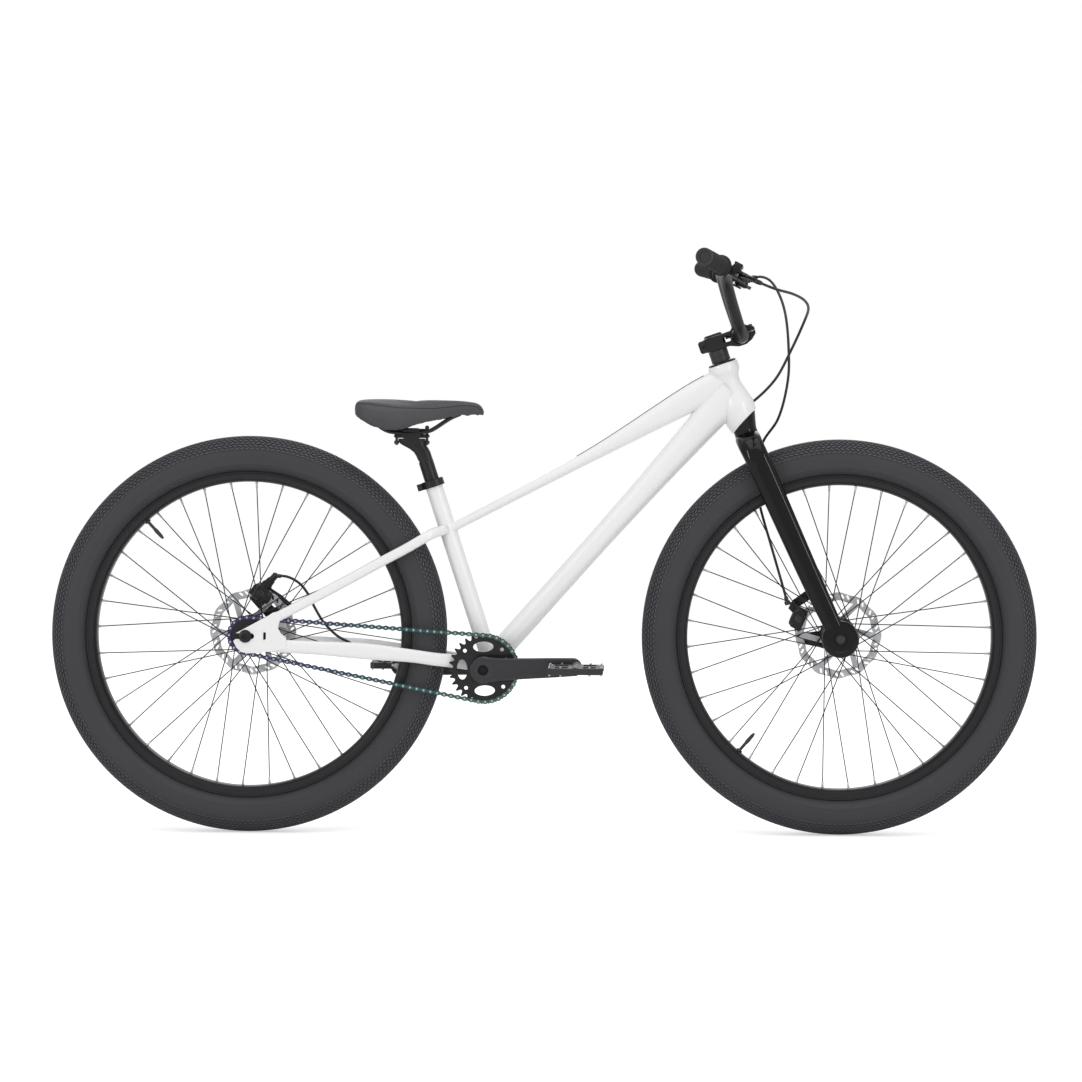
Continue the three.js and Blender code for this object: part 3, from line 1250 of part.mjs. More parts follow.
const fork = union([
  ovalTube(fork_stations, fork_stations.length - 1, head_ahead, fork_sides),
  steerer,
  lugRod(fork_lug_radius, -1, round_sides),
  lugRod(fork_lug_radius, 1, round_sides),
  ...fork_tab_shares.map((shares) => plate(aboutCaliper(front_caliper_at, shares),
    front_mount_side + fit_gap, front_mount_side + fork_tab_thickness)),
])
  .subtract(frontAxle(holeRadius(front_axle_radius + fit_gap, rod_sides), -front_hub_width, front_hub_width))
  .subtract(hose(front_hose_route, hose_radius + fit_gap));
piece(steering, "fork", largest(fork), black_paint);
piece(steering, "front_axle", frontAxle(front_axle_radius, -fork_lug_outer - fit_gap, fork_lug_outer)
  .add(frontAxle(axle_head_radius, fork_lug_outer + fit_gap, fork_lug_outer + axle_head_width))
  .add(frontAxle(front_axle_radius, 0, fork_lug_outer + axle_head_width)), black_anodised);
const front_caliper = caliper(front_caliper_at, front_axle_at, front_rotor_side, front_caliper_tilt)
  .add(union(front_ear_shares.map((shares) => plate(aboutCaliper(front_caliper_at, shares),
    front_mount_side - bracket_plate_thickness, front_mount_side))))
  .subtract(hose(front_hose_route, hose_radius + fit_gap));
piece(steering, "front_caliper", largest(front_caliper), black_anodised);

// Seatpost with a head that holds the saddle's rails, and the clamp plate over them
const seat = new THREE.Group();
bike.add(seat);
const seatpost_insert = 132;
const seatpost_show = 67;
const seatpost_head_height = 33;
const seatpost_foot = seat_tube_length - seatpost_insert;
const seatpost_top = seat_tube_length + seatpost_show;
const seatpost_head = seatpost_top + seatpost_head_height;
const seatpost_setback = -10.8;
const rail_lift = 6;
const cradle_size = vec(34, 52, 12);
const clamp_plate_size = vec(30, 52, 7);
const saddle_grip = vec(seatPoint(seatpost_head, seatpost_setback).x, 0, seatPoint(seatpost_head).z + rail_lift);
const rail_bed = (radius) => union([-1, 1].map((side) => rod(radius,
  saddle_grip.clone().add(vec(-cradle_size.x, (side * rail_spread) / 2, 0)),
  saddle_grip.clone().add(vec(cradle_size.x, (side * rail_spread) / 2, 0)))));
const rail_gap = rail_bed(holeRadius(rail_radius + fit_gap, rod_sides));
// The post's head sweeps back from the straight part to the cradle.
const post_head_stations = [
  seatPoint(seatpost_top - seatpost_radius),
  seatPoint(seatpost_top),
  saddle_grip.clone().add(vec(0, 0, -cradle_size.z)),
].map((at) => [at, 2 * seatpost_radius, 2 * seatpost_radius]);
const cradle = block(saddle_grip.clone().add(vec(0, 0, -cradle_size.z / 2 - fit_gap / 2)), cradle_size);
const clamp_plate = block(saddle_grip.clone().add(vec(0, 0, clamp_plate_size.z / 2 + fit_gap / 2)), clamp_plate_size);
piece(seat, "seatpost", rod(seatpost_radius, seatPoint(seatpost_foot), seatPoint(seatpost_top), round_sides)
  .add(ovalTube(post_head_stations, post_head_stations.length - 1))
  .add(cradle)
  .subtract(rail_gap), black_anodised);
piece(seat, "saddle_clamp", clamp_plate.subtract(rail_gap), black_anodised);

// Saddle: a shell with two rails under a padded cover. Stations from tail to nose, measured from where the post
// grips the rails: [ahead as a share of the length, half width as a share of it, low and high as shares of the height]
const saddle_way_shares = [
  [-0.4387, 0.4928, 0.5167, 0.7167], [-0.4202, 0.7536, 0.4167, 0.9167], [-0.3739, 0.9275, 0.2833, 0.9833],
  [-0.2899, 1, 0.1, 0.9767], [-0.1849, 0.9855, -0.02, 0.9433], [-0.084, 0.8841, -0.0167, 0.9033],
  [0.0252, 0.6957, 0.15, 0.89], [0.1387, 0.5072, 0.2667, 0.9067], [0.2563, 0.3768, 0.35, 0.94],
  [0.3613, 0.3116, 0.4233, 0.96], [0.4513, 0.2609, 0.45, 0.93], [0.521, 0.2029, 0.4567, 0.8],
  [0.5622, 0.1159, 0.4833, 0.6167],
];
const saddle_way = saddle_way_shares.map(([ahead, half, low, high]) => [
  saddle_grip.x + ahead * saddle_length, (half * saddle_width) / 2,
  saddle_grip.z + low * saddle_height, saddle_grip.z + high * saddle_height,
]);
// Half sections from the middle of the underside to the middle of the top: [share of half width, share of height]
const cover_shares = [
  [0, 0.4], [0.7, 0.36], [0.88, 0.02], [0.97, 0.12], [1, 0.4], [0.94, 0.7], [0.74, 0.91], [0.4, 0.99], [0, 1],
];
const saddle_shell_shares = [[0, 0.24], [0.64, 0.2], [0.66, 0.34], [0, 0.38]];
// A rail from the nose to the tail: shares of the length, half the rails' spread and the height
const rail_way_shares = [
  [0.3697, 0.3182, 0.55], [0.2941, 0.5909, 0.4167], [0.1429, 1, 0.0417], [0.0924, 1, 0], [-0.1513, 1, 0],
  [-0.2185, 1.0227, 0.1], [-0.2857, 1.0909, 0.3167],
];

function saddleLoft(way, shares, lower) {
  return loft(way.map(([x, half, low, high]) => {
    const point = ([out, up]) => vec(x, out * half, low + up * (high - low) - lower);
    const right = shares.map(point);
    const left = shares.slice(1, -1).reverse().map(([out, up]) => point([-out, up]));
    return [...right, ...left];
  }));
}
const saddle_rails = [-1, 1].map((side) => {
  const stations = rail_way_shares.map(([ahead, out, up]) => [
    saddle_grip.clone().add(vec(ahead * saddle_length, (side * out * rail_spread) / 2, up * saddle_height)),
    2 * rail_radius, 2 * rail_radius,
  ]);
  return ovalTube(stations, stations.length - 1, across_axis, hose_sides);
});
piece(seat, "saddle_base", saddleLoft(saddle_way.slice(1, -1), saddle_shell_shares, fit_gap).add(union(saddle_rails)),
  black_anodised);
piece(seat, "saddle_cushion", saddleLoft(saddle_way, cover_shares, 0), cover);
export default bike;
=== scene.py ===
import math

import bmesh
import bpy
from bpy.props import FloatProperty, FloatVectorProperty, PointerProperty
from mathutils import Matrix, Vector


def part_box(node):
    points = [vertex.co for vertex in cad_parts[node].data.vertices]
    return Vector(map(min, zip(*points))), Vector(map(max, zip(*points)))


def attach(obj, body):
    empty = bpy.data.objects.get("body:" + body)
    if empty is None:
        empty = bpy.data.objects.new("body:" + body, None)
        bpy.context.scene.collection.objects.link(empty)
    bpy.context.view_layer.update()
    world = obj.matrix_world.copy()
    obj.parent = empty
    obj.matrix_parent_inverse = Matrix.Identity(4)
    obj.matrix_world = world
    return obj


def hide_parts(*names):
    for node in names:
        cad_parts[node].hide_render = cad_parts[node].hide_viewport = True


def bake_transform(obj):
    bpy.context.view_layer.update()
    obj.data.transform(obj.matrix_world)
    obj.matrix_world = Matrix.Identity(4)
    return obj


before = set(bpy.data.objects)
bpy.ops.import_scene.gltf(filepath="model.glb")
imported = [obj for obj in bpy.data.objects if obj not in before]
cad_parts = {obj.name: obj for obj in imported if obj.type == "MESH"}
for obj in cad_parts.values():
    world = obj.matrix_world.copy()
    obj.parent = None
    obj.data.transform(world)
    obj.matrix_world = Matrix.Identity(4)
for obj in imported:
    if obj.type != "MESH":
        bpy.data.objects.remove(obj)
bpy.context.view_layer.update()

bl_info = {
    "name": "Dirt Jump Bike",
    "version": (1, 0, 0),
    "blender": (4, 5, 0),
    "location": "3D View > Sidebar > Dirt Jump Bike",
    "description": "Builds the visible pieces of a dirt jump bike round its solid model",
    "category": "Object",
}

# All tables below are in millimetres; a piece is scaled to metres when it is made.
MM = 0.001
UP = Vector((0, 0, 1))
ACROSS = Vector((0, 1, 0))
AHEAD = Vector((1, 0, 0))

# Key points of the bike, taken from the boxes of its solids
REAR_AXLE = sum(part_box("rear_tyre"), Vector()) / 2 / MM
FRONT_AXLE = sum(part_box("front_tyre"), Vector()) / 2 / MM
BRACKET = sum(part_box("bottom_bracket_shell"), Vector()) / 2 / MM
HEAD_TILT = math.radians(19.3)
HEAD_DOWN = Vector((math.sin(HEAD_TILT), 0, -math.cos(HEAD_TILT)))
HEAD_AHEAD = Vector((math.cos(HEAD_TILT), 0, math.sin(HEAD_TILT)))
HEAD_LENGTH = 97.3
FORK_LENGTH = 446.8
FORK_OFFSET = 40
HEAD_TOP = FRONT_AXLE - HEAD_AHEAD * FORK_OFFSET - HEAD_DOWN * (FORK_LENGTH + HEAD_LENGTH)
SEAT_TILT = math.radians(18.27)
SEAT_UP = Vector((-math.sin(SEAT_TILT), 0, math.cos(SEAT_TILT)))
SEAT_AHEAD = Vector((math.cos(SEAT_TILT), 0, math.sin(SEAT_TILT)))
SEAT_FOOT = BRACKET + Vector((12.6, 0, 0))


def head_point(down, ahead=0, side=0):
    return HEAD_TOP + HEAD_DOWN * down + HEAD_AHEAD * ahead + ACROSS * side


def seat_point(up, ahead=0, side=0):
    return SEAT_FOOT + SEAT_UP * up + SEAT_AHEAD * ahead + ACROSS * side


def around(centre, radius, degrees, side=0):
    """A point at a radius and an angle in the plane of the wheels."""
    turn = math.radians(degrees)
    return Vector((centre.x + radius * math.cos(turn), side, centre.z + radius * math.sin(turn)))


# Shapes


def smooth_way(rows, spans):
    """Rows of numbers, the first three a place, joined by a centripetal curve in so many steps to a row."""
    rows = [tuple(row) for row in rows]
    first = tuple(2 * a - b for a, b in zip(rows[0], rows[1]))
    last = tuple(2 * a - b for a, b in zip(rows[-1], rows[-2]))
    padded = [first, *rows, last]
    made = []
    for i in range(1, len(padded) - 2):
        four = padded[i - 1:i + 3]
        knots = [0.0]
        for a, b in zip(four, four[1:]):
            knots.append(knots[-1] + max(math.dist(a[:3], b[:3]), 1e-6) ** 0.5)
        for step in range(spans):
            made.append(_between(four, knots, knots[1] + (knots[2] - knots[1]) * step / spans))
    made.append(rows[-1])
    return made


def _between(four, knots, t):
    """The row at one knot value between the middle two of four rows."""
    level = [list(row) for row in four]
    for depth in range(1, 4):
        for j in range(4 - depth):
            lo, hi = (knots[1], knots[2]) if depth == 3 else (knots[j], knots[j + depth])
            share = (t - lo) / (hi - lo)
            level[j] = [a + (b - a) * share for a, b in zip(level[j], level[j + 1])]
    return level[0]


def tangents(points):
    ends = [points[0], *points, points[-1]]
    return [(ends[i + 2] - ends[i]).normalized() for i in range(len(points))]


def arc(x, z, radius, start, end, steps):
    """Points of an arc in x and z, between two angles in degrees."""
    turns = [math.radians(start + (end - start) * i / steps) for i in range(steps + 1)]
    return [(x + radius * math.cos(t), z + radius * math.sin(t)) for t in turns]


def oval(x, z, wide, tall, degrees=0, steps=28):
    """Points of an ellipse in x and z, turned by an angle."""
    turn = math.radians(degrees)
    loop = []
    for i in range(steps):
        t = 2 * math.pi * i / steps
        u, v = wide / 2 * math.cos(t), tall / 2 * math.sin(t)
        loop.append((x + u * math.cos(turn) - v * math.sin(turn),
                     z + u * math.sin(turn) + v * math.cos(turn)))
    return loop


def outline_of(points):
    """The x and z of points, for a plate."""
    return [(p.x, p.z) for p in points]


class Shape:
    """The points and faces of one piece, in millimetres, put together from simple parts."""

    def __init__(self):
        self.points = []
        self.faces = []

    def add(self, points, faces):
        base = len(self.points)
        self.points.extend(Vector(p) for p in points)
        self.faces.extend(tuple(base + i for i in face) for face in faces)
        return self

    def loft(self, rings, closed=False, caps=True):
        """Rings of as many points each, joined in order; closed joins the last one to the first."""
        sides, count = len(rings[0]), len(rings)
        faces = []
        for r in range(count if closed else count - 1):
            a, b = r * sides, (r + 1) % count * sides
            for s in range(sides):
                n = (s + 1) % sides
                faces.append((a + s, a + n, b + n, b + s))
        if caps and not closed:
            faces.append(tuple(reversed(range(sides))))
            faces.append(tuple((count - 1) * sides + s for s in range(sides)))
        return self.add([p for ring in rings for p in ring], faces)

    def oval_tube(self, stations, spans=6, sides=32, side=ACROSS, square=2.0):
        """A tube through stations of x, y, z, width and height; square over 2 flattens its sides."""
        rows = smooth_way(stations, spans) if spans > 1 else [tuple(s) for s in stations]
        places = [Vector(row[:3]) for row in rows]
        rings = []
        for at, row, tangent in zip(places, rows, tangents(places)):
            broad = (side - tangent * side.dot(tangent)).normalized()
            tall = tangent.cross(broad)
            ring = []
            for s in range(sides):
                turn = 2 * math.pi * s / sides
                c, n = math.cos(turn), math.sin(turn)
                out = (abs(c) ** square + abs(n) ** square) ** (-1 / square)
                ring.append(at + broad * (c * out * row[3] / 2) + tall * (n * out * row[4] / 2))
            rings.append(ring)
        return self.loft(rings)

    def tube(self, way, radius, sides=12, closed=False):
        """A round tube along points; radius is one number, or one for each point."""
        points = [Vector(p) for p in way]
        radii = radius if isinstance(radius, (list, tuple)) else [radius] * len(points)
        if closed:
            turns = [(points[(i + 1) % len(points)] - points[i - 1]).normalized() for i in range(len(points))]
        else:
            turns = tangents(points)
        side = turns[0].orthogonal().normalized()
        rings = []
        for at, tangent, r in zip(points, turns, radii):
            side = (side - tangent * side.dot(tangent)).normalized()
            tall = tangent.cross(side)
            ring = []
            for s in range(sides):
                turn = 2 * math.pi * s / sides
                ring.append(at + side * (math.cos(turn) * r) + tall * (math.sin(turn) * r))
            rings.append(ring)
        return self.loft(rings, closed=closed)

    def rod(self, start, end, radius, sides=16, chamfer=0):
        start, end = Vector(start), Vector(end)
        way = (end - start).normalized()
        length = (end - start).length
        profile = [(0, 0), (radius - chamfer, 0), (radius, chamfer), (radius, length - chamfer),
                   (radius - chamfer, length), (0, length)]
        if not chamfer:
            profile = [(0, 0), (radius, 0), (radius, length), (0, length)]
        return self.turned(profile, start, way, sides)

    def turned(self, profile, origin, axis, sides=48):
        """(radius, height) pairs turned about an axis; an outline away from the axis closes on itself."""
        axis = Vector(axis).normalized()
        one = axis.orthogonal().normalized()
        two = axis.cross(one)
        origin = Vector(origin)
        ring = profile[0][0] > 0 or profile[-1][0] > 0
        rows = []
        points, faces = [], []
        for radius, height in profile:
            if radius <= 0:
                rows.append([len(points)] * sides)
                points.append(origin + axis * height)
                continue
            rows.append(list(range(len(points), len(points) + sides)))
            for s in range(sides):
                turn = 2 * math.pi * s / sides
                out = one * (radius * math.cos(turn)) + two * (radius * math.sin(turn))
                points.append(origin + axis * height + out)
        pairs = list(zip(rows, rows[1:]))
        if ring:
            pairs.append((rows[-1], rows[0]))
        for a, b in pairs:
            for s in range(sides):
                n = (s + 1) % sides
                face = [a[s], a[n], b[n], b[s]]
                face = [v for i, v in enumerate(face) if v != face[i - 1]]
                if len(face) > 2:
                    faces.append(tuple(face))
        return self.add(points, faces)

    def box(self, centre, size, axes):
        """A box with its sides along three axes."""
        centre = Vector(centre)
        corners = [
            centre + sum((axis * (sign * length / 2) for axis, sign, length in zip(axes, signs, size)),
                         Vector())
            for signs in ((-1, -1, -1), (1, -1, -1), (1, 1, -1), (-1, 1, -1), (-1, -1, 1), (1, -1, 1),
                          (1, 1, 1), (-1, 1, 1))
        ]
        return self.add(corners, [(0, 3, 2, 1), (4, 5, 6, 7), (0, 1, 5, 4), (1, 2, 6, 5), (2, 3, 7, 6),
                                  (3, 0, 4, 7)])

    def plate(self, outline, low, high, holes=(), chamfer=0.0, turn=Matrix.Identity(4)):
        """A flat plate with its outline in x and z and its thickness along y, then moved by a matrix."""
        curve = bpy.data.curves.new("outline", "CURVE")
        curve.dimensions = "2D"
        curve.fill_mode = "BOTH"
        for loop in (outline, *holes):
            spline = curve.splines.new("POLY")
            spline.points.add(len(loop) - 1)
            for point, (x, z) in zip(spline.points, loop):
                point.co = (x, z, 0, 1)
            spline.use_cyclic_u = True
        curve.extrude = abs(high - low) / 2 - chamfer
        curve.bevel_depth = chamfer
        curve.offset = -chamfer
        holder = bpy.data.objects.new("outline", curve)
        mesh = holder.to_mesh()
        middle = (low + high) / 2
        points = [turn @ Vector((v.co.x, v.co.z + middle, v.co.y)) for v in mesh.vertices]
        faces = [tuple(p.vertices) for p in mesh.polygons]
        holder.to_mesh_clear()
        bpy.data.objects.remove(holder)
        bpy.data.curves.remove(curve)
        return self.add(points, faces)

    def made(self, name, body, finish, slot, nodes=(), bevel=0.0, sharp=35):
        """The piece itself: it rides on a body and stands for the nodes that it replaces. Its slot is not
        used.
        """
        mesh = bpy.data.meshes.new(name)
        mesh.from_pydata([p * MM for p in self.points], [], self.faces)
        mesh.materials.append(finish.material)
        mesh.shade_smooth()
        piece = bpy.data.objects.new(name, mesh)
        bpy.context.collection.objects.link(piece)
        weld(mesh)
        mesh.set_sharp_from_angle(angle=math.radians(sharp))
        if bevel:
            edge = piece.modifiers.new("soft_edges", "BEVEL")
            edge.width = bevel * MM
            edge.segments = 2
            edge.limit_method = "ANGLE"
            edge.angle_limit = math.radians(sharp)
        settle(piece, body, nodes)
        return piece


def weld(mesh):
    """Joins points that lie together and turns the faces outwards."""
    made = bmesh.new()
    made.from_mesh(mesh)
    bmesh.ops.remove_doubles(made, verts=made.verts, dist=1e-6)
    bmesh.ops.recalc_face_normals(made, faces=made.faces)
    made.to_mesh(mesh)
    made.free()


def settle(piece, body, nodes=()):
    """What the frame has to know of a piece."""
    if body:
        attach(piece, body)
    if nodes:
        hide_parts(*nodes)


# Finishes


# How much finer the lines of brushed metal are across the bike than along and up it
BRUSH_SCALE = (40, 900, 40)


class Value:
    """A shader socket that takes part in Python sums."""

    def __init__(self, finish, socket):
        self.finish = finish
        self.socket = socket

    def sum(self, operation, *inputs):
        return self.finish.node("ShaderNodeMath", inputs, operation=operation)

    def __add__(self, other):
        return self.sum("ADD", self, other)

    def __radd__(self, other):
        return self.sum("ADD", other, self)

    def __sub__(self, other):
        return self.sum("SUBTRACT", self, other)

    def __mul__(self, other):
        return self.sum("MULTIPLY", self, other)

    def __rmul__(self, other):
        return self.sum("MULTIPLY", other, self)

    def __truediv__(self, other):
        return self.sum("DIVIDE", self, other)

    def wave(self):
        return self.sum("SINE", self)

    def clamped(self):
        return self.sum("MINIMUM", self.sum("MAXIMUM", self, 0.0), 1.0)


class Finish:
    """A Principled material whose sockets take numbers, colours or Values."""

    def __init__(self, name, colour, roughness, metallic=0.0, coat=0.0, coat_roughness=0.08):
        self.material = bpy.data.materials.new(name)
        self.material.use_nodes = True
        self.tree = self.material.node_tree
        self.shader = self.tree.nodes["Principled BSDF"]
        self.material.diffuse_color = (*colour, 1)
        self.material.roughness = roughness
        self.material.metallic = metallic
        self.set("Base Color", (*colour, 1))
        self.set("Roughness", roughness)
        self.set("Metallic", metallic)
        self.set("Coat Weight", coat)
        self.set("Coat Roughness", coat_roughness)

    def set(self, socket, value):
        self._feed(self.shader.inputs[socket], value)
        return self

    def _feed(self, socket, value):
        if isinstance(value, Value):
            self.tree.links.new(value.socket, socket)
        else:
            socket.default_value = value

    def node(self, kind, inputs=(), output=0, **settings):
        """A node of any type, with its inputs by place or by name; gives one of its outputs."""
        made = self.tree.nodes.new(kind)
        for key, value in settings.items():
            setattr(made, key, value)
        pairs = inputs.items() if isinstance(inputs, dict) else enumerate(inputs)
        for key, value in pairs:
            self._feed(made.inputs[key], value)
        return Value(self, made.outputs[output])

    def place(self):
        return self.node("ShaderNodeTexCoord", output="Object")

    def parts(self, vector):
        """The x, y and z of a vector."""
        made = self.node("ShaderNodeSeparateXYZ", [vector])
        return [Value(self, socket) for socket in made.socket.node.outputs]

    def noise(self, scale, detail=2.0, vector=None):
        return self.node("ShaderNodeTexNoise", {"Vector": vector or self.place(), "Scale": scale,
                                                "Detail": detail})

    def mix(self, factor, first, second):
        """Between two colours."""
        made = self.node("ShaderNodeMix", output=2, data_type="RGBA")
        for socket, value in zip((made.socket.node.inputs[i] for i in (0, 6, 7)), (factor, first, second)):
            self._feed(socket, value)
        return made

    def bumped(self, height, distance, strength=1.0):
        """A fine relief, with its height from 0 to 1 and its distance in metres."""
        self.set("Normal", self.node("ShaderNodeBump", {"Height": height, "Distance": distance,
                                                        "Strength": strength}))
        return self


def speckled(name, colour, roughness, grain, rough_spread=0.06, shade=0.06, **more):
    """A plain finish with a fine variation in its colour and its roughness."""
    made = Finish(name, colour, roughness, **more)
    cloud = made.noise(grain)
    dark = tuple(c * (1 - shade) for c in colour)
    light = tuple(min(1.0, c * (1 + shade)) for c in colour)
    made.set("Base Color", made.mix(cloud, (*dark, 1), (*light, 1)))
    made.set("Roughness", roughness - rough_spread / 2 + rough_spread * cloud)
    return made


def rubber_finish(name, colour, roughness, grain):
    made = speckled(name, colour, roughness, 9.0, 0.08, 0.12)
    return made.bumped(made.noise(grain, 3.0), 0.00025, 0.5)


def brushed_finish(name, colour, roughness):
    """Metal with fine lines along the piece."""
    made = Finish(name, colour, roughness, metallic=1.0)
    stretched = made.node("ShaderNodeVectorMath", [made.place(), BRUSH_SCALE], operation="MULTIPLY")
    lines = made.noise(1.0, 2.0, stretched)
    made.set("Roughness", roughness - 0.08 + 0.16 * lines)
    return made.bumped(lines, 0.00003, 0.3)


def chain_finish():
    """Steel with a heat tint that runs from blue and purple at the cog to green at the front."""
    made = Finish("chain_oil_slick", (0.1, 0.13, 0.24), 0.25, metallic=1.0)
    ramp = made.node("ShaderNodeValToRGB")
    tones = ramp.socket.node.color_ramp
    stops = [(0.0, (0.05, 0.05, 0.13, 1)), (0.35, (0.08, 0.075, 0.16, 1)), (0.6, (0.05, 0.1, 0.14, 1)),
             (0.85, (0.06, 0.15, 0.13, 1)), (1.0, (0.1, 0.17, 0.13, 1))]
    while len(tones.elements) < len(stops):
        tones.elements.new(0.5)
    for element, (at, tone) in zip(tones.elements, stops):
        element.position = at
        element.color = tone
    x, _, z = made.parts(made.place())
    run = (x - REAR_AXLE.x * MM) / ((BRACKET.x - REAR_AXLE.x) * MM)
    tint = (run * 0.7 + 0.15 + 0.25 * made.noise(160.0) + 0.06 * (z * 400.0).wave()).clamped()
    made._feed(ramp.socket.node.inputs[0], tint)
    made.set("Base Color", ramp)
    made.set("Roughness", 0.2 + 0.14 * made.noise(300.0))
    return made


class Finishes:
    """Every finish of the bike, one for each material slot of the record or part of it."""

    def __init__(self, settings):
        white = tuple(settings.frame_colour)
        black = tuple(settings.part_colour)
        self.frame = speckled("frame_white", white, 0.28, 3.0, 0.05, 0.008, coat=0.4)
        # Near-black for the thin dark line along the upper edge of the top tube.
        self.edge_line = speckled("frame_edge_line_black", (0.012, 0.012, 0.014), 0.3, 3.0, coat=0.4)
        self.fork = speckled("fork_black", (0.004, 0.004, 0.005), 0.12, 6.0, 0.04).set("IOR", 1.36)
        self.parts = speckled("parts_black", black, 0.3, 60.0, 0.1, 0.15).set("IOR", 1.42)
        self.satin = speckled("satin_black", (0.022, 0.022, 0.026), 0.42, 120.0, 0.1, 0.15)
        # Near-black and matte: painted shade for the hollow of the crank spindle, and the colour of the brake
        # pads, partly their own dark and partly painted shade inside the calipers.
        self.bore = speckled("pad_dark_and_bore_shade", (0.004, 0.004, 0.004), 0.8, 80.0)
        self.tyre = rubber_finish("tyre_rubber", tuple(settings.tyre_colour), 0.62, 900.0)
        # The tread blocks get 1.9 times the casing's colour: a painted highlight for the glints on their
        # edges, so that the grooves between them read darker.
        self.tread = rubber_finish("tread_painted_highlight", tuple(1.9 * c for c in settings.tyre_colour), 0.55, 900.0)
        self.grip = rubber_finish("grip_rubber", (0.014, 0.014, 0.015), 0.75, 1400.0)
        self.hose = rubber_finish("hose_black", (0.012, 0.012, 0.013), 0.42, 1600.0)
        self.steel = brushed_finish("steel", (0.55, 0.56, 0.58), 0.3)
        self.bolt = brushed_finish("bolt_black", (0.07, 0.07, 0.075), 0.34)
        self.spoke = speckled("spoke_black", (0.03, 0.03, 0.033), 0.32, 40.0, metallic=0.8)
        self.nipple = brushed_finish("nipple_steel", (0.45, 0.46, 0.48), 0.35)
        self.chain = chain_finish()
        self.plastic = speckled("saddle_plastic", (0.014, 0.014, 0.015), 0.5, 200.0)
        self.cover = rubber_finish("saddle_cover", (0.05, 0.05, 0.057), 0.52, 2200.0)
        self.tube = rubber_finish("inner_tube", (0.02, 0.02, 0.02), 0.7, 800.0)


_finishes = {}


def finishes():
    """The finishes, made once from the settings."""
    if "all" not in _finishes:
        _finishes["all"] = Finishes(bpy.context.scene.dirt_jump_bike)
    return _finishes["all"]


# The stage


# The photo's width, and the point of it that the level camera faces, in pixels
PHOTO_WIDTH = 1082
PHOTO_CENTRE = (684, 373)
CAMERA_PLACE = (0.2534, -6.822, 0.8464)
CAMERA_ROLL = math.radians(-0.35)
CAMERA_LENS = 123.5
CAMERA_SENSOR = 36
CAMERA_REACH = 200
FLOOR_SIZE = 60.0
# Each lamp's place, the point that it faces, its width and height, and its full power
LAMPS = {
    "lamp_above": ((0.2, -1.2, 4.2), (0.0, 0.0, 0.4), (4.0, 4.0), 95.0),
    "lamp_left": ((-3.6, -4.2, 1.9), (0.0, 0.0, 0.6), (0.4, 2.8), 60.0),
    "lamp_right": ((3.8, -3.8, 1.9), (0.0, 0.0, 0.6), (0.4, 2.8), 55.0),
    "lamp_behind": ((0.0, 4.0, 2.8), (0.0, 0.0, 0.5), (3.0, 3.0), 45.0),
}


def build_floor(settings):
    """A white floor that keeps the bike's shadow."""
    half = FLOOR_SIZE / 2
    mesh = bpy.data.meshes.new("floor")
    mesh.from_pydata([(-half, -half, 0), (half, -half, 0), (half, half, 0), (-half, half, 0)], [],
                     [(0, 1, 2, 3)])
    floor = bpy.data.objects.new("floor", mesh)
    bpy.context.collection.objects.link(floor)
    white = Finish("floor_white", (0.9, 0.9, 0.9), 0.9)
    seen = white.node("ShaderNodeLightPath", output="Is Camera Ray")
    white.set("Emission Color", white.mix(seen, (0, 0, 0, 1), (1, 1, 1, 1)))
    white.set("Emission Strength", settings.floor_glow)
    mesh.materials.append(white.material)


def build_world(settings):
    """A white surrounding that lights the bike evenly."""
    world = bpy.data.worlds.new("studio")
    bpy.context.scene.world = world
    world.use_nodes = True
    tree = world.node_tree
    path = tree.nodes.new("ShaderNodeLightPath")
    seen = tree.nodes.new("ShaderNodeMath")
    seen.operation = "MAXIMUM"
    tree.links.new(path.outputs["Is Camera Ray"], seen.inputs[0])
    tree.links.new(path.outputs["Is Transmission Ray"], seen.inputs[1])
    glow = tree.nodes.new("ShaderNodeMapRange")
    glow.inputs["To Min"].default_value = settings.world_light
    glow.inputs["To Max"].default_value = 1.0
    tree.links.new(seen.outputs[0], glow.inputs["Value"])
    background = tree.nodes["Background"]
    background.inputs["Color"].default_value = (1, 1, 1, 1)
    tree.links.new(glow.outputs["Result"], background.inputs["Strength"])


def build_lamps(settings):
    for name, (place, target, size, power) in LAMPS.items():
        light = bpy.data.lights.new(name, "AREA")
        light.shape = "RECTANGLE"
        light.size, light.size_y = size
        light.energy = power * settings.lamp_power
        lamp = bpy.data.objects.new(name, light)
        bpy.context.collection.objects.link(lamp)
        lamp.location = place
        lamp.rotation_euler = (Vector(target) - Vector(place)).to_track_quat("-Z", "Y").to_euler()


def build_camera():
    """The camera of the photograph: level, with its horizon above the middle of the picture."""
    data = bpy.data.cameras.new("camera")
    data.lens = CAMERA_LENS
    data.sensor_width = CAMERA_SENSOR
    data.shift_x = 0.5 - PHOTO_CENTRE[0] / PHOTO_WIDTH
    data.shift_y = PHOTO_CENTRE[1] / PHOTO_WIDTH - 0.5
    data.clip_end = CAMERA_REACH
    camera = bpy.data.objects.new("camera", data)
    bpy.context.collection.objects.link(camera)
    camera.location = CAMERA_PLACE
    camera.rotation_euler = (math.radians(90), CAMERA_ROLL, 0)
    bpy.context.scene.camera = camera


# Wheels


TYRE_RADIUS = 363
TYRE_HALF_WIDTH = 35
TYRE_BELLY = 328
BEAD_RADIUS = 291
RIM_FLOOR = 286
RIM_INNER = 279
TREAD_DEPTH = 1.9
TREAD_STEPS = 230
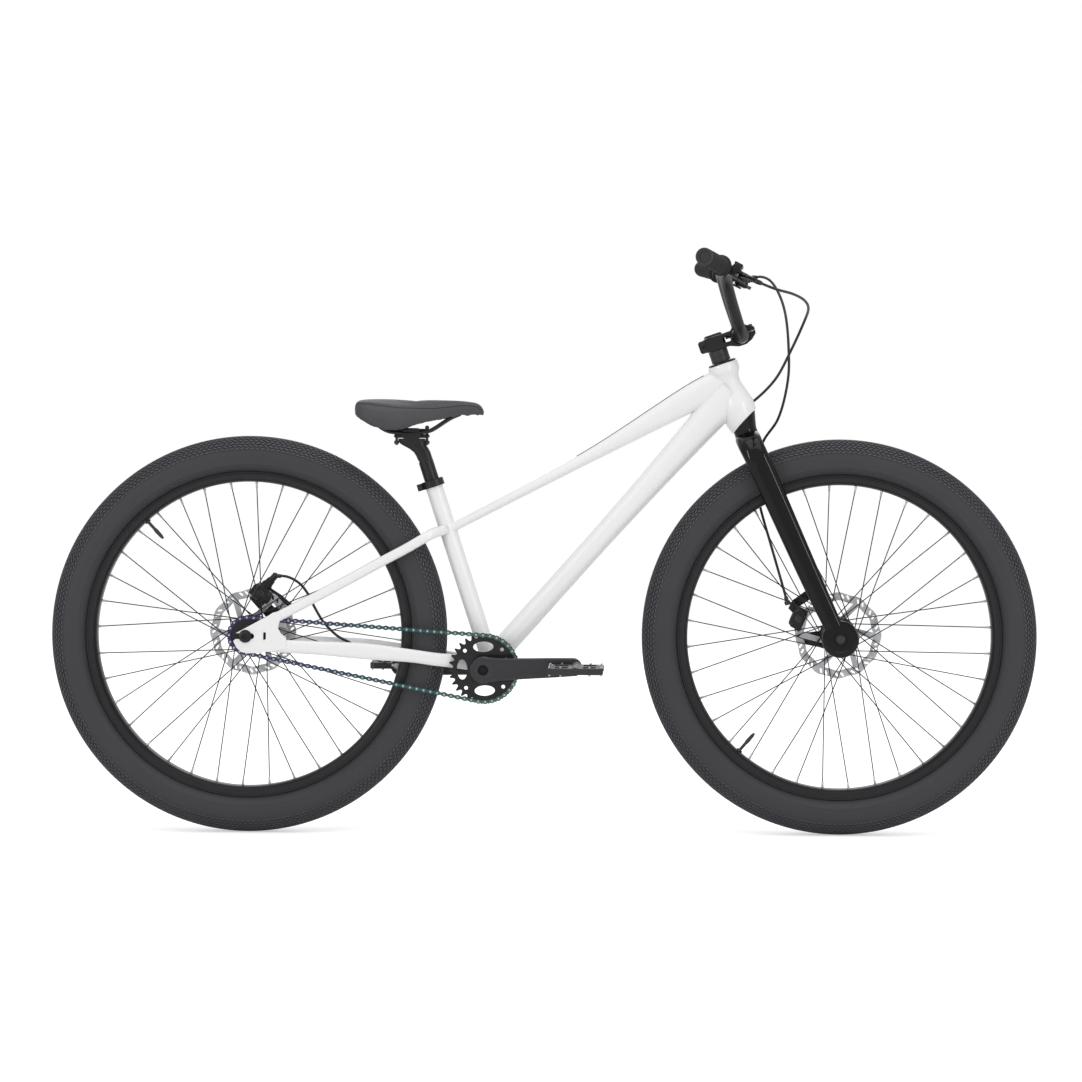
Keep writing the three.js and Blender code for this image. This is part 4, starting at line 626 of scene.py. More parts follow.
# Rows of tread blocks: from and to in degrees of the section, and how many steps they lean forward
TREAD_ROWS = [(1.5, 9.5, 0.6), (13, 21.5, -0.6), (25, 32.5, 0.6), (35.5, 43, -0.6), (46, 53, 0.6),
              (56, 62.5, -0.6), (65.5, 71, 0.6)]
SPOKES_A_SIDE = 18
SPOKE_CROSSINGS = 3
SPOKE_RADIUS = 1.0
SPOKE_CIRCLE = 29.4
NIPPLE_SIDE = 4
ROTOR_RADIUS = 80
ROTOR_HALF = 0.95
ROTOR_BOLTS = 6
BOLT_CIRCLE = 22
# Each wheel: its middle, half its hub's length, its flanges' and rotor's sides, its axle's radius, and the
# angle at which its valve stands
HUBS = {
    "front": {"centre": FRONT_AXLE, "half": 54.7, "flange": 26, "rotor": 40, "axle": 7.5, "valve": 229},
    "rear": {"centre": REAR_AXLE, "half": 67.2, "flange": 28, "rotor": 52, "axle": 5, "valve": 132.7},
}


def tyre_point(turn, height=0.0):
    """Radius and side of the tyre's outside at an angle of its section from the crown."""
    angle = math.radians(turn)
    rise = TYRE_RADIUS - TREAD_DEPTH - TYRE_BELLY + height
    return TYRE_BELLY + rise * math.cos(angle), (TYRE_HALF_WIDTH - 1 + height) * math.sin(angle)


def tyre_section():
    """The tyre's section from one bead over the crown to the other, and back inside it."""
    lower = [(327, 34.3), (318, 33.6), (314, 33.2), (312.5, 33.4), (311, 32.4), (306, 29.6), (301.5, 24.6),
             (299.2, 19.5), (298.6, 16.6), (BEAD_RADIUS, 16.4), (BEAD_RADIUS, 13.5), (297, 13.2), (301, 19),
             (310, 28.5), (328, 31.4)]
    upper = [tyre_point(turn) for turn in range(82, -83, -4)]
    for i, turn in enumerate(range(82, -83, -4)):
        if abs(turn) in (70, 66):
            upper[i] = tyre_point(turn, 0.5)
    inside = [(TYRE_BELLY + 29.5 * math.cos(math.radians(t)), 31.2 * math.sin(math.radians(t)))
              for t in range(-80, 81, 10)]
    back = [(radius, -side) for radius, side in reversed(lower)]
    return lower[:9][::-1] + upper + back[-9:][::-1] + back[:6][::-1] + inside + lower[9:][::-1]


def tread(shape, centre):
    """Chevron blocks all round the crown of the tyre."""
    step = 360 / TREAD_STEPS
    for i in range(TREAD_STEPS):
        for near, far, lean in TREAD_ROWS:
            for side in (1, -1):
                shift = 0.5 if side < 0 else 0.0
                corners = []
                for height, grow in ((-0.6, 0.34), (TREAD_DEPTH, 0.25)):
                    for turn, lead in ((near, 0), (far, lean)):
                        radius, out = tyre_point(turn, height)
                        for share in (-grow, grow):
                            corners.append(around(centre, radius, (i + shift + lead + share) * step,
                                                  side * out))
                shape.add(corners, [(0, 1, 3, 2), (4, 6, 7, 5), (0, 4, 5, 1), (2, 3, 7, 6), (0, 2, 6, 4),
                                    (1, 5, 7, 3)])


def wheel_piece(shape, name, word, finish, slot, nodes=(), sharp=35):
    nodes = [f"{name}_{node}" for node in nodes]
    shape.made(f"{name}_{word}", f"{name}_wheel", finish, slot, nodes, sharp=sharp)


def build_tyre(name):
    centre = HUBS[name]["centre"]
    casing = Shape().turned(tyre_section(), centre, ACROSS, 160)
    wheel_piece(casing, name, "tyre_casing", finishes().tyre, "tyre_rubber", ["tyre"])
    blocks = Shape()
    tread(blocks, centre)
    # The blocks take the lighter tread finish, a painted highlight.
    wheel_piece(blocks, name, "tyre_tread", finishes().tread, "tyre_rubber")


def build_inner_tube(name):
    """The inner tube with its valve; the valve's cap and nut show inside the rim."""
    hub = HUBS[name]
    tube = [(TYRE_BELLY - 6 + 26 * math.cos(math.radians(t)), 27 * math.sin(math.radians(t)))
            for t in range(0, 360, 15)]
    shape = Shape().turned(tube, hub["centre"], ACROSS, 96)
    wheel_piece(shape, name, "tube", finishes().tube, "tyre_rubber", ["inner_tube"])
    valve = Shape()
    inward = around(Vector(), -1, hub["valve"])
    foot = around(hub["centre"], RIM_INNER + 4, hub["valve"])
    valve.turned([(0, 0), (2.9, 0), (2.9, 24), (0, 24)], foot, inward, 16)
    valve.turned([(2.2, 24), (3.6, 24.4), (3.8, 30), (3.3, 42), (1.8, 47), (0, 47.4), (0, 26), (2.2, 26)],
                 foot, inward, 16)
    valve.turned([(2.9, 4.4), (6.2, 4.4), (6.2, 7), (2.9, 7)], foot, inward, 6)
    wheel_piece(valve, name, "valve", finishes().bolt, "parts_black")


def build_rim(name):
    """A box section rim with a hooked edge, joined by a line at each side wall."""
    centre = HUBS[name]["centre"]
    half = [(RIM_FLOOR - 2.4, 0), (RIM_FLOOR - 1.8, 7.6), (RIM_FLOOR + 1.4, 9), (RIM_FLOOR + 2, 15.6),
            (290, 17.6), (295.4, 17.4), (296.6, 16.8), (297.7, 17.6), (298, 18.8), (297.6, 20), (295, 20),
            (294.6, 19.6), (294.2, 20), (288, 20), (285, 19), (281.4, 15.2), (279.6, 11.4), (RIM_INNER, 8.4)]
    section = [(r, -y) for r, y in reversed(half)] + half[1:]
    shape = Shape().turned(section, centre, ACROSS, 160)
    wheel_piece(shape, name, "rim_band", finishes().parts, "parts_black", ["rim"], sharp=28)


def spoke_ends(name, side, index):
    """Where a spoke leaves the hub's flange and where it meets its nipple."""
    hub = HUBS[name]
    pitch = 360 / SPOKES_A_SIDE
    lean = 1 if index % 2 else -1
    angle = hub["valve"] + side * pitch / 4 + index * pitch
    flange_side = side * (hub["flange"] + (1.8 if index % 2 else -1.8))
    inner = around(hub["centre"], SPOKE_CIRCLE, angle + lean * SPOKE_CROSSINGS * pitch, flange_side)
    outer = around(hub["centre"], RIM_INNER, angle, side * NIPPLE_SIDE)
    return inner, outer


def build_spokes(name):
    for side, word in ((1, "left"), (-1, "right")):
        spokes, nipples = Shape(), Shape()
        for index in range(SPOKES_A_SIDE):
            inner, outer = spoke_ends(name, side, index)
            way = (outer - inner).normalized()
            bow = inner.lerp(outer, 0.42) - ACROSS * side * (0.9 if index % 2 else -0.9)
            head = inner - ACROSS * side * (3.2 if index % 2 else -3.2)
            spokes.tube([head, inner, inner.lerp(outer, 0.02), bow, inner.lerp(outer, 0.8), outer - way * 9],
                        SPOKE_RADIUS, 8)
            spokes.turned([(0, -0.8), (1.5, -0.6), (1.9, 0), (1.9, 0.8), (0, 0.9)], head, ACROSS * side, 10)
            nipples.turned([(0, 0), (1.5, 0.2), (1.9, 1), (1.9, 8), (2.4, 8.6), (2.4, 13), (0, 13)],
                           outer - way * 12, way, 8)
        wheel_piece(spokes, name, f"spoke_set_{word}", finishes().spoke, "spoke_black", [f"spokes_{word}"])
        wheel_piece(nipples, name, f"nipples_{word}", finishes().nipple, "spoke_black")


def build_hub(name):
    """A hub with two flanges and a rotor seat. The rear one ends where the driver begins."""
    hub = HUBS[name]
    end, flange, rotor, bore = hub["half"], hub["flange"], hub["rotor"], hub["axle"] + 0.4
    if name == "rear":
        right_end = [(bore, -flange - 5.2), (14, -flange - 5.2)]
    else:
        right_end = [(bore, -end), (10.4, -end), (11.2, -end + 0.8), (11.2, -flange - 14),
                     (13, -flange - 13.4)]
    profile = right_end + [
        (14.5, -flange - 5), (20, -flange - 2.6), (31.6, -flange - 1.7), (32.8, -flange - 0.8),
        (32.8, -flange + 0.8), (31.6, -flange + 1.7), (22, -flange + 2.8), (16.4, -flange + 7),
        (14.6, -flange + 14), (14.2, 0), (14.6, flange - 14), (16.4, flange - 7), (22, flange - 2.8),
        (31.6, flange - 1.7), (32.8, flange - 0.8), (32.8, flange + 0.8), (31.6, flange + 1.7),
        (22, flange + 3), (17.5, flange + 5), (17.5, rotor - 2), (19.6, rotor - 1.6), (19.6, rotor + 1.8),
        (17, rotor + 2.4), (16.6, rotor + 6), (11.2, rotor + 6.6), (11.2, end - 0.8), (10.4, end),
        (bore, end),
    ]
    shape = Shape().turned(profile, hub["centre"], ACROSS, 64)
    wheel_piece(shape, name, "hub_shell", finishes().parts, "parts_black", ["hub"], sharp=40)


def slanted_slot(radius, degrees, length=9.0, width=3.4, lean=38):
    """A rounded slot whose long way leans across the ring."""
    turn = math.radians(degrees + lean)
    centre = around(Vector(), radius, degrees)
    way, wide = Vector((math.cos(turn), 0, math.sin(turn))), Vector((-math.sin(turn), 0, math.cos(turn)))
    loop = []
    for end, start in ((1, -90), (-1, 90)):
        for t in range(0, 181, 45):
            swing = math.radians(start + t)
            along = end * (length - width) / 2 + math.cos(swing) * width / 2
            point = centre + way * along + wide * (math.sin(swing) * width / 2)
            loop.append((point.x, point.z))
    return loop


def build_rotor(name):
    """A brake rotor: a wavy ring with slots, on slanting arms from its carrier, and its six bolts."""
    hub = HUBS[name]
    waves = [math.cos(math.radians(12 * t)) for t in range(360)]
    edge = [around(Vector(), ROTOR_RADIUS - 1.4 + 1.4 * waves[t], t) for t in range(0, 360, 2)]
    slots = [slanted_slot(72.4, t + (0 if i % 2 else 4)) for i, t in enumerate(range(0, 360, 12))]
    windows = []
    for k in range(ROTOR_BOLTS):
        outer = [around(Vector(), 64 + 1.2 * waves[t], t) for t in range(60 * k + 5, 60 * k + 56, 5)]
        inner = [around(Vector(), 29, t) for t in range(60 * k + 68, 60 * k + 31, -6)]
        windows.append(outline_of(outer + inner))
    places = [around(Vector(), BOLT_CIRCLE, 60 * k + 20) for k in range(ROTOR_BOLTS)]
    bolts = [outline_of(place + around(Vector(), 2.4, t) for t in range(0, 360, 30)) for place in places]
    centre = outline_of(around(Vector(), 17.7, t) for t in range(0, 360, 6))
    turn = Matrix.Translation(hub["centre"])
    shape = Shape().plate(outline_of(edge), hub["rotor"] - ROTOR_HALF, hub["rotor"] + ROTOR_HALF,
                          [centre, *windows, *slots, *bolts], 0.25, turn)
    wheel_piece(shape, name, "rotor_disc", finishes().steel, "steel", ["rotor"])
    heads = Shape()
    head = [(0, 0), (3.9, 0), (3.9, 1.6), (3.2, 2.2), (1.6, 2.2), (1.4, 1.2), (0, 1.2)]
    for k in range(ROTOR_BOLTS):
        at = around(hub["centre"], BOLT_CIRCLE, 60 * k + 20, hub["rotor"] + 0.9)
        heads.turned(head, at, ACROSS, 12)
    wheel_piece(heads, name, "rotor_bolts", finishes().bolt, "parts_black")


def build_wheels():
    for name in HUBS:
        build_tyre(name)
        build_inner_tube(name)
        build_rim(name)
        build_spokes(name)
        build_hub(name)
        build_rotor(name)


# Fork and cockpit


# One half of the fork from the middle of its crown to a foot: [down, ahead, side, thickness, depth]
FORK_WAY = [(144, 0, 0, 27, 46), (147, 0, 22, 27, 46), (159, 1, 44, 27, 45.5), (178, 3.2, 53, 27, 44.5),
            (204.5, 5.9, 54.5, 26, 44), (447, 27.5, 61.5, 18, 37), (520, 35.5, 63.4, 15.6, 33)]
LUG_SIDES = (55.3, 68)
LUG_RADIUS = 34
# The handlebar from its middle to one end: [back, out, up, radius]
BAR_WAY = [(0, 0, 0, 15.9), (0, 28, 0, 15.9), (0.2, 34, 0.3, 15.8), (1, 46, 3, 12.4), (6, 70, 19, 11.1),
           (20, 112, 62, 11.1), (29.5, 150, 96, 11.1), (33, 180, 110.5, 11.1), (34.2, 208, 115, 11.1),
           (35.4, 238, 118.1, 11.1), (38.7, 252, 119.4, 11.1), (69.1, 380, 131.2, 11.1)]
GRIP_LENGTH = 132
# The grip's ends without ribs, and the step from rib to rib
GRIP_PLAIN = 6.0
GRIP_PITCH = 4.1
STEM_FOOT = 27.3
STEM_TOP = 53.3
STEM_REACH = 49
BAR_CLAMP = head_point(-(STEM_FOOT + STEM_TOP) / 2, STEM_REACH)
# A brake lever sits midway between these rows of the bar and reaches forward and down
LEVER_ROWS = (BAR_WAY[8], BAR_WAY[9])
LEVER_DROP = math.radians(28)
# The lever's pivot and its blade's outline: [out along the bar, along its reach]
LEVER_PIVOT = (-2, 38)
LEVER_BLADE = [(-7, 35), (-5, 33), (4, 32.4), (16, 34.6), (30, 39), (44, 45.4), (56, 52.6), (64, 58.6),
               (70, 64), (70.8, 66.6), (69, 69), (66, 69.4), (62, 67.4), (54, 61.4), (46, 56.4), (36, 51.6),
               (26, 48), (14, 46.4), (4, 45.6), (-5, 43.4)]
# Head frame: x ahead of the steering axis, y to the side, z up it from the top of the head tube
HEAD = Matrix.Translation(HEAD_TOP) @ Matrix.Rotation(-HEAD_TILT, 4, "Y")


def steering_piece(shape, name, finish, slot, nodes=(), sharp=35):
    shape.made(name, "steering", finish, slot, nodes, sharp=sharp)


def fork_stations(side):
    return [(*head_point(down, ahead, side * out), deep, thick)
            for down, ahead, out, thick, deep in FORK_WAY]


def build_fork():
    """The fork: a tapered steerer, a crown and two blades in one curve, and a lug at each foot."""
    f = finishes()
    blades = Shape().oval_tube(fork_stations(-1)[::-1] + fork_stations(1)[1:], 14, 40, side=HEAD_AHEAD,
                               square=2.35)
    steering_piece(blades, "fork_blades", f.fork, "fork_black", ["fork"])
    steerer = Shape().turned([(0, -STEM_TOP), (14.3, -STEM_TOP), (14.3, 44), (17, 76), (17, 99), (28.4, 99),
                              (28.6, 100), (26.6, 108), (22.4, 124), (21.2, 130), (21.6, 144), (0, 144)],
                             HEAD_TOP, HEAD_DOWN, 64)
    steering_piece(steerer, "fork_steerer", f.fork, "fork_black", sharp=30)
    lugs = Shape()
    for side in (1, -1):
        foot = FRONT_AXLE + ACROSS * side * LUG_SIDES[0]
        wide = LUG_SIDES[1] - LUG_SIDES[0]
        lugs.turned([(7.9, 0), (LUG_RADIUS - 3.4, 0), (LUG_RADIUS - 1, 1), (LUG_RADIUS, 3.2),
                     (LUG_RADIUS, wide - 3.2), (LUG_RADIUS - 1, wide - 1), (LUG_RADIUS - 3.4, wide),
                     (24, wide), (22.6, wide - 1.2), (13, wide - 1.2), (12.4, wide), (7.9, wide)], foot,
                    ACROSS * side, 64)
    tabs = [[(456, 426), (468, 414), (498, 434), (500, 458)],
            [(520, 336), (534, 341), (522, 372), (474, 366), (466, 352), (478, 348)]]
    for outline in tabs:
        lugs.plate(outline, 53, 58.7, chamfer=1.2)
    steering_piece(lugs, "fork_lugs", f.fork, "fork_black", sharp=30)


def build_front_axle():
    shape = Shape().turned([(0, -68), (7.5, -68), (7.5, 68), (0, 68)], FRONT_AXLE, ACROSS, 32)
    head = [(7.5, 68.2), (11, 68.2), (11.7, 69), (11.7, 73.6), (10.8, 75), (5, 75), (4.4, 74), (4.4, 70.6),
            (0, 70.6)]
    shape.turned(head, FRONT_AXLE, ACROSS, 40)
    shape.turned([(3.4, 67.2), (7.4, 67.2), (7.4, 68), (6.6, 68.4), (3.4, 68.4)], FRONT_AXLE, -ACROSS, 32)
    steering_piece(shape, "front_axle_rod", finishes().bolt, "parts_black", ["front_axle"])


def build_stem():
    """The stem: a pinched collar, a body with a window through it, and a bar clamp with its cap."""
    f = finishes()
    middle = (STEM_FOOT + STEM_TOP) / 2
    spacer = Shape().turned([(14.7, 4.4), (17.2, 4.4), (17.6, 4.8), (17.6, 14.6), (17.2, 15), (17.2, 15.4),
                             (17.6, 15.8), (17.6, 26.6), (17.2, 27), (14.7, 27)], HEAD_TOP, -HEAD_DOWN, 56)
    steering_piece(spacer, "headset_spacers", f.satin, "parts_black", ["headset_spacer"], sharp=25)
    cap = Shape().turned([(0, STEM_TOP + 0.3), (16.6, STEM_TOP + 0.3), (17, STEM_TOP + 0.8),
                          (17, STEM_TOP + 2.2), (15, STEM_TOP + 4.2), (5.4, STEM_TOP + 4.3),
                          (4.8, STEM_TOP + 3.2), (0, STEM_TOP + 3.2)],
                         HEAD_TOP, -HEAD_DOWN, 56)
    cap.turned([(0, 0), (3.9, 0), (3.9, 0.8), (3.4, 1.2), (2, 1.2), (1.8, 0.2), (0, 0.2)],
               head_point(-STEM_TOP - 3.2), -HEAD_DOWN, 24)
    steering_piece(cap, "stem_top_cap", f.parts, "parts_black", ["top_cap"])
    body = Shape()
    body.turned([(14.6, STEM_FOOT), (18.4, STEM_FOOT), (19.3, STEM_FOOT + 1), (19.3, STEM_TOP - 1),
                 (18.4, STEM_TOP), (14.6, STEM_TOP)], HEAD_TOP, -HEAD_DOWN, 56)
    ahead = STEM_REACH
    cheek = [(-20, middle - 9), (-16, middle - 12.4), (4, middle - 13), (24, middle - 13.4),
             (40, middle - 19.8), (54, middle - 19.8), (66, middle - 15), (ahead + 27, middle - 6.6),
             (ahead + 28, middle - 0.3), (ahead + 17, middle - 0.3)]
    cheek += arc(ahead, middle, 16.4, 360, 180, 16)
    cheek += [(ahead - 17.4, middle - 0.3), (ahead - 22, middle + 4), (24, middle + 10), (4, middle + 12.6),
              (-16, middle + 12.6), (-20, middle + 9)]
    window = [(16, middle - 4.4), (26, middle - 5), (29, middle - 4), (30.4, middle - 1), (29, middle + 2.4),
              (26, middle + 4), (16, middle + 4.4), (14.6, middle)]
    for side in (1, -1):
        low, high = sorted((side * 15.4, side * 20))
        body.plate(cheek, low, high, [window], 1.1, HEAD)
        body.plate([(-31, middle - 8), (-28.6, middle - 11.4), (-14, middle - 12), (-14, middle + 12),
                    (-28.6, middle + 11.4), (-31, middle + 8)], side * 6.6 - 5.4, side * 6.6 + 5.4,
                   chamfer=2.0, turn=HEAD)
    body.plate(arc(ahead, middle, 20, 180, 360, 24) + arc(ahead, middle, 16.4, 360, 180, 24), -15.6, 15.6,
               turn=HEAD)
    for level in (-13, 8.6):
        body.plate([(15, middle + level), (31, middle + level), (31, middle + level + 4),
                    (15, middle + level + 4)], -15.6, 15.6,
                   turn=HEAD)
    steering_piece(body, "stem_body", f.parts, "parts_black", ["stem"])
    top = Shape()
    hood = [(ahead - 28, middle + 0.4), (ahead - 28, middle + 6), (ahead - 25, middle + 9),
            (ahead - 16, middle + 13), (ahead - 8, middle + 20.4), (ahead + 8, middle + 20.4),
            (ahead + 16, middle + 13), (ahead + 25, middle + 9), (ahead + 28, middle + 6),
            (ahead + 28, middle + 0.4), (ahead + 16.5, middle + 0.4)]
    top.plate(hood + arc(ahead, middle + 0.3, 16.4, 4, 176, 16) + [(ahead - 16.5, middle + 0.4)], -20, 20,
              chamfer=1.0, turn=HEAD)
    steering_piece(top, "stem_cap", f.parts, "parts_black", ["stem_bar_cap"])
    bolts = Shape()
    head = [(0, 0), (3.9, 0), (4, 0.5), (4, 3.6), (3.5, 4.2), (2.1, 4.2), (1.9, 2.6), (0, 2.6)]
    for x in (-21.6, 21.6):
        for y in (-12, 12):
            bolts.turned(head, HEAD @ Vector((ahead + x, y, middle + 8.6)), -HEAD_DOWN, 20)
    for z in (-6, 6):
        bolts.turned(head, HEAD @ Vector((-23, -10.4, middle + z)), -ACROSS, 20)
        bolts.rod(HEAD @ Vector((-23, -10, middle + z)), HEAD @ Vector((-23, 11, middle + z)), 2.4, 16)
    steering_piece(bolts, "stem_bolts", f.bolt, "parts_black")


def bar_point(side, row):
    back, out, up = row[:3]
    return BAR_CLAMP + Vector((-back, side * out, up))


def build_handlebar():
    right, left = ([(*bar_point(side, row), 2 * row[3], 2 * row[3]) for row in BAR_WAY] for side in (-1, 1))
    bar = Shape().oval_tube(right[::-1] + left[1:], 8, 32, side=AHEAD)
    steering_piece(bar, "handlebar_tube", finishes().parts, "parts_black", ["handlebar"])


def build_grip(side, word):
    """A ribbed grip with a flange at its inner end and a cap at its outer end."""
    outer, inner = bar_point(side, BAR_WAY[-1]), bar_point(side, BAR_WAY[-2])
    out = (outer - inner).normalized()
    start = outer - out * GRIP_LENGTH
    profile = [(11.4, 0), (18.4, 0), (19, 0.6), (19, 3.2), (18, 4), (15.2, 4.6)]
    at = GRIP_PLAIN
    while at < GRIP_LENGTH - GRIP_PLAIN:
        profile += [(14.4, at), (14.6, at + 0.7), (15.5, at + 1.1), (15.5, at + 3.0), (14.6, at + 3.4)]
        at += GRIP_PITCH
    profile += [(15.3, GRIP_LENGTH - 1), (15.3, GRIP_LENGTH - 0.2), (11.4, GRIP_LENGTH - 0.2)]
    grip = Shape().turned(profile, start, out, 44)
    steering_piece(grip, f"grip_{word}_sleeve", finishes().grip, "grip_rubber", [f"grip_{word}"], sharp=30)
    ring = [(7.6, 0), (15.1, 0), (15.5, 0.5), (15.5, 2.2), (14.4, 3), (11.4, 3), (10.6, 2), (9.4, 2),
            (8.6, 2.9), (7.6, 2.9)]
    cap = Shape().turned(ring, outer, out, 44)
    cap.turned([(0, 0), (7.5, 0), (7.5, 1.4), (3, 1.4), (2.4, 2.2), (0, 2.2)], outer, out, 32)
    steering_piece(cap, f"grip_{word}_cap", finishes().satin, "grip_rubber")


def lever_frame(side):
    """x out along the bar, y lift, z reach; the lift goes up on both sides."""
    inner, outer = (bar_point(side, row) for row in LEVER_ROWS)
    out = (outer - inner).normalized()
    ahead = Vector((math.cos(LEVER_DROP), 0, -math.sin(LEVER_DROP)))
    reach = (ahead - out * out.dot(ahead)).normalized()
    lift = reach.cross(out).normalized() * side
    placed = Matrix((out, lift, reach)).transposed().to_4x4()
    placed.translation = (inner + outer) / 2
    return placed


def build_lever(side, word):
    """A brake lever: its clamp, housing with cylinder and hose nut, and the blade on its pin."""
    f, turn = finishes(), lever_frame(side)
    out, lift, reach = (turn.to_3x3() @ axis for axis in (AHEAD, ACROSS, UP))
    body = Shape()
    body.turned([(11.4, -7), (15.2, -7), (16, -6.2), (16, 6.2), (15.2, 7), (11.4, 7)], turn.translation, out,
                40)
    housing = [(-19, 12), (12, 12), (14, 20), (14, 33), (10, 42), (5, 45.6), (-12, 46), (-18, 41), (-22, 30),
               (-22, 18)]
    body.plate(housing, 3.9, 7, chamfer=1.0, turn=turn)
    body.plate(housing, -7, -3.9, chamfer=1.0, turn=turn)
    body.plate([(-19, 11), (12, 11), (13.6, 26), (-21, 26)], -4, 4, turn=turn)
    cylinder = turn @ Vector((-38, 9, 22))
    body.turned([(0, 0), (6.4, 0), (8.6, 1.4), (9, 3), (9, 14), (8.4, 14.8), (9, 15.6), (9, 44), (8.6, 50),
                 (7, 52), (0, 52)],
                cylinder, out, 36)
    body.plate([(-30, 14), (8, 14), (10, 22), (8, 30), (-30, 30), (-33, 22)], 15.4, 20.4, chamfer=1.6,
               turn=turn)
    body.turned([(3, 0), (6.4, 0), (7, 1), (7, 20), (5.6, 24), (3, 24)], turn @ Vector((-8, 4, 30)), reach,
                28)
    steering_piece(body, f"brake_lever_{word}_body", f.parts, "parts_black", [f"brake_lever_body_{word}"],
                   sharp=30)
    route = HOSES["rear" if word == "right" else "front"]
    start, way = Vector(route[0]), (Vector(route[1]) - Vector(route[0])).normalized()
    nut = Shape().turned([(2.6, -26), (5.2, -26), (5.2, -10), (4.2, -9), (4.2, 12), (3.6, 14), (2.6, 14)],
                         start, way, 20)
    nut.turned([(2.6, 0), (5, 0), (5, 7), (2.6, 7)], start, way, 6)
    steering_piece(nut, f"brake_lever_{word}_nut", f.bolt, "parts_black")
    screws = Shape()
    for x, z in ((-2, 38), (-16, 20)):
        screws.turned([(0, 0), (3.4, 0), (3.4, 0.8), (2.8, 1.3), (1.6, 1.3), (1.4, 0.4), (0, 0.4)],
                      turn @ Vector((x, 7 if z > 30 else 19.4, z)), lift, 20)
    steering_piece(screws, f"brake_lever_{word}_screws", f.steel, "steel")
    holes = [arc(*LEVER_PIVOT, 2.7, 0, 330, 11), oval(46, 51.4, 5, 3.4, 32, 14)]
    blade = Shape().plate(LEVER_BLADE, -3.2, 3.2, holes, 1.3, turn)
    nodes = [f"brake_lever_blade_{word}"]
    blade.made(f"brake_lever_{word}_blade", f"lever_{word}", f.parts, "parts_black", nodes)
    x, z = LEVER_PIVOT
    pin = Shape().rod(turn @ Vector((x, -7.4, z)), turn @ Vector((x, 7.2, z)), 2.5, 20)
    steering_piece(pin, f"brake_lever_{word}_pin", f.steel, "steel")


# Brakes


HOSE_RADIUS = 2.5
HOSES = {
    "rear": [
        (380.5, -225, 1010.3), (415.3, -190, 997.7), (449, -140, 989.7), (471.1, -90, 979.3),
        (479.6, -50, 966.3), (474.3, 0, 943.6), (449.8, 30, 887.4), (422.1, 42, 835.5), (382.3, 45, 795.1),
        (350, 43, 775), (322, 37, 768), (296, 22, 754), (268, 8, 728), (116.8, 0, 558.4), (0, 4, 426.6),
        (-80, 14, 338), (-103.6, 19, 322.8), (-116, 21, 320.2), (-126, 24, 313.6), (-172, 35, 317.7),
        (-240, 48.5, 327), (-327, 57, 336), (-350, 57, 339), (-370, 53, 347), (-386, 46, 357),
        (-400, 44, 370), (-413, 44, 385), (-431, 44, 416), (-440, 44.5, 434), (-456, 47, 453),
        (-478, 51, 464.5), (-501.3, 55, 466.4),
    ],
    "front": [
        (381.9, 225, 1027.5), (398.4, 200, 1029.2), (414.4, 170, 1021.4), (430.4, 130, 995.4),
        (441.7, 95, 956.7), (447.3, 70, 894.8), (446.4, 65, 835.6), (428.5, 72, 762.1), (401.9, 80, 720.8),
        (388, 78, 672), (389, 75, 636), (397.1, 72, 595.8), (417.2, 66, 526.4), (436, 52, 462),
        (447, 44, 423.5),
    ],
}
# Each caliper: its body, the x and z of its middle, its side, its tilt and its two screws
CALIPERS = {
    "rear": {"body": "frame", "centre": (-526, 434), "side": 52, "tilt": -33,
             "screws": [(-515, 441.6), (-478, 412.6)]},
    "front": {"body": "steering", "centre": (467, 395), "side": 40, "tilt": 66,
              "screws": [(462, 417), (471, 360)]},
}
CALIPER_FACE = 12.7
# The rear caliper's bracket from the caliper's middle, and the two mounts of the front caliper
REAR_BRACKET = [(-24, -10), (-20, 4), (4, 16.8), (36, -4), (60, -24.8), (44, -40), (12, -50)]
FRONT_MOUNTS = [[(456, 426), (449, 412), (461, 400), (472, 410), (468, 418)],
                [(466, 352), (478, 350), (480, 362), (476, 380), (460, 376)]]


def build_hose(name, body):
    """A brake hose on its route, from the lever to the caliper."""
    way = [Vector(row) for row in smooth_way(HOSES[name], 8)]
    shape = Shape().tube(way, HOSE_RADIUS, 14)
    hose = shape.made(f"{name}_hose", body, finishes().hose, "hose_black", [f"{name}_brake_hose"])
    length = sum((b - a).length for a, b in zip(way, way[1:]))
    length * MM
    return hose


def build_hoses():
    build_hose("front", "steering")
    rear = build_hose("rear", None)
    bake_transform(rear)


def caliper_turn(name):
    caliper = CALIPERS[name]
    x, z = caliper["centre"]
    tilt = -math.radians(caliper["tilt"])
    return Matrix.Translation(Vector((x, caliper["side"], z))) @ Matrix.Rotation(tilt, 4, "Y")


def caliper_shape(turn):
    """A two piece caliper over the rotor, with a ridge, its two joining bolts and a pad pin."""
    outer = [(-19, -11), (-12, -13), (12, -13), (19, -11), (20, -4), (20, 6), (16, 12), (8, 13), (-8, 13),
             (-16, 12), (-20, 6), (-20, -4)]
    shape = Shape().plate(outer, 1.9, 12.6, chamfer=2.2, turn=turn)
    shape.plate(outer, -12.9, -1.9, chamfer=2.2, turn=turn)
    shape.plate([(-17, 5), (17, 5), (15, 12.4), (-15, 12.4)], -4, 4, chamfer=0.8, turn=turn)
    bolts = Shape()
    normal = turn.to_3x3() @ ACROSS
    for x, z, r in ((-13, 7, 3.4), (13, 7, 3.4), (0, -2, 7.4)):
        for way in (1, -1):
            face = 12.5 if way > 0 else -12.8
            head = [(0, 0), (r, 0), (r, 0.8), (r * 0.85, 1.3), (r * 0.5, 1.3), (r * 0.45, 0.5), (0, 0.5)]
            bolts.turned(head, turn @ Vector((x, face, z)), normal * way, 24)
    return shape, bolts


